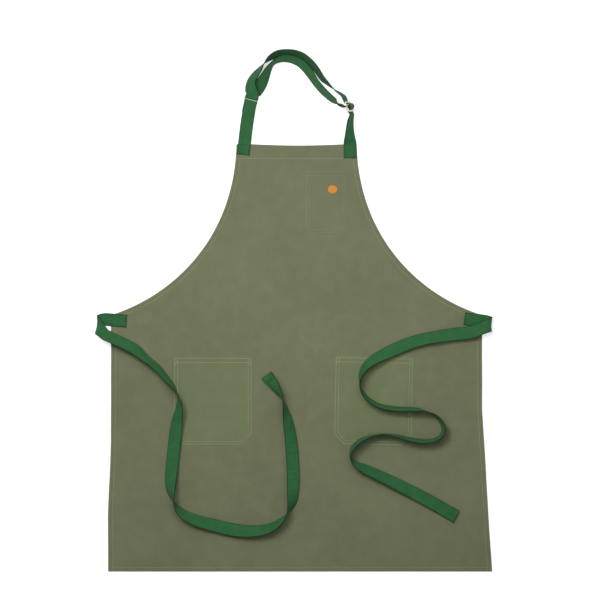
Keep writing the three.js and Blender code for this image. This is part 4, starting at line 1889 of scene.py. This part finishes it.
@dataclass(frozen=True)
class FoldedRoll:
    """A half-turn of webbing over itself, slipping sideways as it goes.

    Attributes:
        reach: How far it bulges past its start.
        radius: Half its height.
        shift: How far it slips sideways.
        follow: The share of the half-turn from which its width turns to what follows.
        slip: The power of the share by which it slips: above 1, most of the slip comes late.
        squareness: How far its width keeps square to its path, from 0 to 1.
        turns: Stations in the half-turn, after the first.
    """

    reach: float
    radius: float
    shift: float
    follow: float
    slip: float = 1.6
    squareness: float = 0.45
    turns: int = 8

    def place(self, start: Vector, way: Vector, share: float) -> Vector:
        """The middle line's place at a share of the half-turn."""
        turn = math.pi * share
        point = start + way * (self.reach * math.sin(turn))
        point.y += self.shift * share**self.slip
        point.z += self.radius * (1 - math.cos(turn))
        return point

    def stations(self, start: Vector, way: Vector, lead: Station) -> list[Station]:
        """Turns the webbing half round past the panel's edge.

        Args:
            start: Where the half-turn starts.
            way: Which way it bulges.
            lead: The station that follows.

        Returns:
            The half-turn's stations.
        """
        stations = []
        step = 0.02
        for k in range(self.turns + 1):
            share = k / self.turns
            ahead = self.place(start, way, min(share + step, 1))
            along = (ahead - self.place(start, way, max(share - step, 0))).normalized()
            turn = math.pi * share
            outward = way * (self.radius * math.sin(turn)) - UP * (self.reach * math.cos(turn))
            square = outward.normalized().cross(along)
            across = way.cross(UP).lerp(square, self.squareness)
            across = across.lerp(lead.across, smooth(self.follow, 1, share)).normalized()
            stations.append(Station(self.place(start, way, share), across))
        return stations


@dataclass
class WaistTie:
    """A waist tie: a sewn tab, a roll at the panel's edge, and the loose length over the front.

    Attributes:
        side: Which side it is sewn to.
        pattern: The apron's main sizes.
        looks: The finishes.
        rows: The loose length's way, from the waist corner.
        enter: Where the roll starts, from the waist corner.
        outward: Which way it leaves the panel, in degrees.
        turn: How it turns back past the panel's edge.
        sewn: Length of the sewn tab inside the panel's edge.
        rolled_by: The height at which the roll has become the loose length; not used.
        ripples: Stretches where the webbing is puckered: two rows and how strongly.
        hem: Length of the hem at the free end.
    """

    side: Side
    pattern: Pattern
    looks: Wardrobe
    rows: tuple[tuple[float, ...], ...]
    enter: tuple[float, float]
    outward: float
    turn: FoldedRoll
    sewn: float
    rolled_by: float
    ripples: tuple[tuple[int, int, float], ...] = ()
    hem: float = 12.0

    def settled(self, point: Vector) -> float:
        """How the tab follows the cloth where it is sewn to it."""
        on_cloth = 1 - smooth(4, 9, point.z)
        inside = smooth(-4, 6, self.side.value * (self.pattern.waist_corner(self.side).x - point.x))
        return on_cloth * inside * (lie(point.x, point.y) - 0.2)

    def build(self) -> None:
        """Makes the tie, its hemmed end and its stitching."""
        corner = self.pattern.waist_corner(self.side)
        way = heading(self.outward)
        across = way.cross(UP)
        start = corner + Vector((*self.enter, ON_PANEL + HALF_THICK))
        edge = abs(self.enter[0])
        tab = [Station(start - way * back, across) for back in (edge + self.sewn, edge + self.sewn / 2, edge)]
        laid = lay_out(self.rows, corner, ON_POCKET + LAYER_GAP)
        into = (laid[1].point - laid[0].point).normalized()
        lead = Station(laid[0].point - into * 4, laid[0].across)
        roll = self.turn.stations(start, way, lead)
        head = [*tab, Station(start - way * (edge / 2), across), *roll, lead]
        first = len(head)
        stations = head + laid + self.turned_end(laid)
        ripples = tuple((first + start, first + stop, strength) for start, stop, strength in self.ripples)
        run = WebbingRun(stations, self.looks, self.settled, ripples=ripples)
        word = self.side.word
        body = f"tie_{word}"
        root = run.cut(f"tie_root_{word}", 0, first)
        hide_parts(f"tie_tab_{word}", f"tie_curl_{word}")
        low = start.copy()
        low.z = ON_PANEL + WEBBING_THICK
        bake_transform(root)
        loose = run.cut(f"tie_length_{word}", first, len(stations) - 1)
        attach(loose, body)
        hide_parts(f"waist_tie_{word}")
        last = first + len(laid) - 1
        hem_rows = self.sew_end(laid, body)
        round(run.length_between(first, last) * MM, 3)
        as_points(run.path(first, last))
        flat = [Vector((each.point.x, each.point.y, 0)) for each in (tab[0], tab[-1])]
        sewn_box(f"tie_tab_box_{word}", flat[0], flat[1], ON_PANEL + WEBBING_THICK - 0.2, self.looks)

    def end_frame(self, laid: list[Station]) -> tuple[Vector, Vector, Vector, Vector]:
        """The free end's place, its way, its upper side and the direction across it."""
        last = laid[-1]
        way = (last.point - laid[-2].point).normalized()
        out = way.cross(last.across).normalized()
        upper = out if out.z > 0 else -out
        return last.point, way, upper, last.across

    def turned_end(self, laid: list[Station]) -> list[Station]:
        """Folds the free end back over itself.

        Args:
            laid: The loose length's stations.

        Returns:
            The hem's stations.
        """
        point, way, upper, across = self.end_frame(laid)
        steps = 4
        radius = HALF_THICK + 0.08
        stations = []
        for k in range(1, steps + 1):
            turn = math.pi * k / steps
            past = point + way * (radius * math.sin(turn))
            stations.append(Station(past + upper * (radius * (1 - math.cos(turn))), across))
        for back in (self.hem / 2, self.hem):
            stations.append(Station(point - way * back + upper * (2 * radius), across))
        return stations

    def sew_end(self, laid: list[Station], body: str) -> bpy.types.Object:
        """Sews the hem across with two rows of dark thread.

        Args:
            laid: The loose length's stations.
            body: The tie's body.

        Returns:
            The rows.
        """
        point, way, upper, across = self.end_frame(laid)
        thread = Stitching(length=2.2, pitch=2.45, radius=0.3)
        places: list[Matrix] = []
        for back in (self.hem - 2.2, self.hem - 3.7):
            middle = point - way * back + upper * (3 * HALF_THICK + 0.22)
            half = across * (HALF_WEB - 1.5)
            places += thread.along([middle - half, middle + half], 0, follow=False)
        name = f"tie_hem_{self.side.word}"
        rows = repeated(name, thread.unit(), places, self.looks.green_thread, Slot.WEBBING)
        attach(rows, body)
        return rows


# ---- studio --------------------------------------------------------------------------------------


@dataclass(frozen=True)
class Lamp:
    """A soft square light that faces the apron.

    Attributes:
        name: The light's name.
        place: Where it hangs, in metres.
        size: Its side, in metres.
        power: Its power in watts.
    """

    name: str
    place: tuple[float, float, float]
    size: float
    power: float

    def build(self) -> None:
        """Hangs the light, unseen by the camera."""
        panel = bpy.data.lights.new(self.name, "AREA")
        panel.size = self.size
        panel.energy = self.power
        lamp = bpy.data.objects.new(self.name, panel)
        lamp.location = self.place
        lamp.visible_camera = False
        lamp.rotation_euler = (-Vector(self.place)).to_track_quat("-Z", "Y").to_euler()
        bpy.context.scene.collection.objects.link(lamp)


@dataclass
class Studio:
    """The camera straight above, soft light and a pale floor.

    Attributes:
        looks: The finishes.
        height: The camera's height.
        view_width: How much of the floor it sees.
        middle: The place that it looks at.
        sensor: The camera's sensor.
        floor_level: The floor, just under the apron.
        floor_half: Half the floor's side.
        ambient: The strength of the light from all round.
        lamps: The lights.
    """

    looks: Wardrobe
    height: float = 3000.0
    view_width: float = 1170.0
    middle: tuple[float, float] = (0.0, 21.7)
    sensor: float = 36.0
    floor_level: float = -0.6
    floor_half: float = 4000.0
    ambient: float = 0.3
    lamps: tuple[Lamp, ...] = (
        Lamp("key", (-1.05, 1.25, 2.65), 0.9, 50),
        Lamp("overhead", (0.02, 0.18, 0.95), 0.6, 4.2),
        Lamp("fill", (1.9, -1.2, 2.4), 2.6, 2),
    )

    def build(self) -> None:
        """Makes the camera, the lights and the floor."""
        scene = bpy.context.scene
        lens = bpy.data.cameras.new("overhead")
        lens.sensor_width = self.sensor
        lens.lens = self.sensor * self.height / self.view_width
        camera = bpy.data.objects.new("overhead", lens)
        camera.location = Vector((*self.middle, self.height)) * MM
        scene.collection.objects.link(camera)
        scene.camera = camera
        scene.view_settings.view_transform = "Standard"
        for lamp in self.lamps:
            lamp.build()
        world = bpy.data.worlds.new("soft_room")
        world.use_nodes = True
        sky = world.node_tree.nodes["Background"]
        sky.inputs["Color"].default_value = (1, 1, 1, 1)
        sky.inputs["Strength"].default_value = self.ambient
        scene.world = world
        self.floor()

    def floor(self) -> None:
        """Lays the floor."""
        shape = bmesh.new()
        bmesh.ops.create_grid(shape, x_segments=4, y_segments=4, size=self.floor_half)
        bmesh.ops.translate(shape, vec=(0, 0, self.floor_level), verts=shape.verts)
        shape.transform(Matrix.Scale(MM, 4))
        mesh = meshed("floor", shape)
        mesh.materials.append(self.looks.floor)
        floor = bpy.data.objects.new("floor", mesh)
        bpy.context.scene.collection.objects.link(floor)


# ---- the whole apron -----------------------------------------------------------------------------


def pockets(pattern: Pattern, looks: Wardrobe) -> list[Pocket]:
    """The three patch pockets.

    Args:
        pattern: The apron's main sizes.
        looks: The finishes.

    Returns:
        The left, right and bib pockets.
    """
    mouth_y = pattern.waist_y - 81
    left = Vector((pattern.centre_x - 163, mouth_y, 0))
    right = Vector((pattern.centre_x + 152, mouth_y, 0))
    bib = Vector((pattern.centre_x + 57, pattern.bib_top - 51.5, 0))
    lower = {"width": 152, "height": 172, "corner": 20}
    return [
        Pocket("pocket_left", looks, left, **lower),
        Pocket("pocket_right", looks, right, **lower, turn=-1.2),
        Pocket(
            node="bib_pocket",
            looks=looks,
            mouth=bib,
            width=79,
            height=122.5,
            corner=11,
            rows=(1.8, 6.4),
            mouth_rows=(3.0, 9.4),
            same_cloth=True,
        ),
    ]


def waist_ties(pattern: Pattern, looks: Wardrobe) -> list[WaistTie]:
    """The two waist ties.

    Args:
        pattern: The apron's main sizes.
        looks: The finishes.

    Returns:
        The left and right ties.
    """
    left = WaistTie(
        side=Side.LEFT,
        pattern=pattern,
        looks=looks,
        rows=TIE_LEFT,
        enter=(-8, -8.3),
        outward=175,
        turn=FoldedRoll(reach=17.5, radius=8, shift=-30, follow=0.4),
        sewn=31,
        rolled_by=11,
        ripples=LEFT_RIPPLES,
    )
    right = WaistTie(
        side=Side.RIGHT,
        pattern=pattern,
        looks=looks,
        rows=TIE_RIGHT,
        enter=(4, -11.6),
        outward=-7,
        turn=FoldedRoll(reach=13, radius=6, shift=-11.6, follow=0.4),
        sewn=35,
        rolled_by=10,
    )
    return [left, right]


def main() -> None:
    """Builds the apron around the frame: camera and ties first, then the rest."""
    logging.basicConfig(level=logging.INFO, format="%(name)s: %(message)s")
    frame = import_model()
    pattern = Pattern.from_frame()
    looks = Wardrobe.make()
    Studio(looks).build()
    for tie in waist_ties(pattern, looks):
        tie.build()
    NeckLoop(pattern, looks).build()
    Panel(pattern, looks).build()
    for pocket in pockets(pattern, looks):
        pocket.build()
    Emblem(looks).build()


if __name__ == "__main__":
    main()
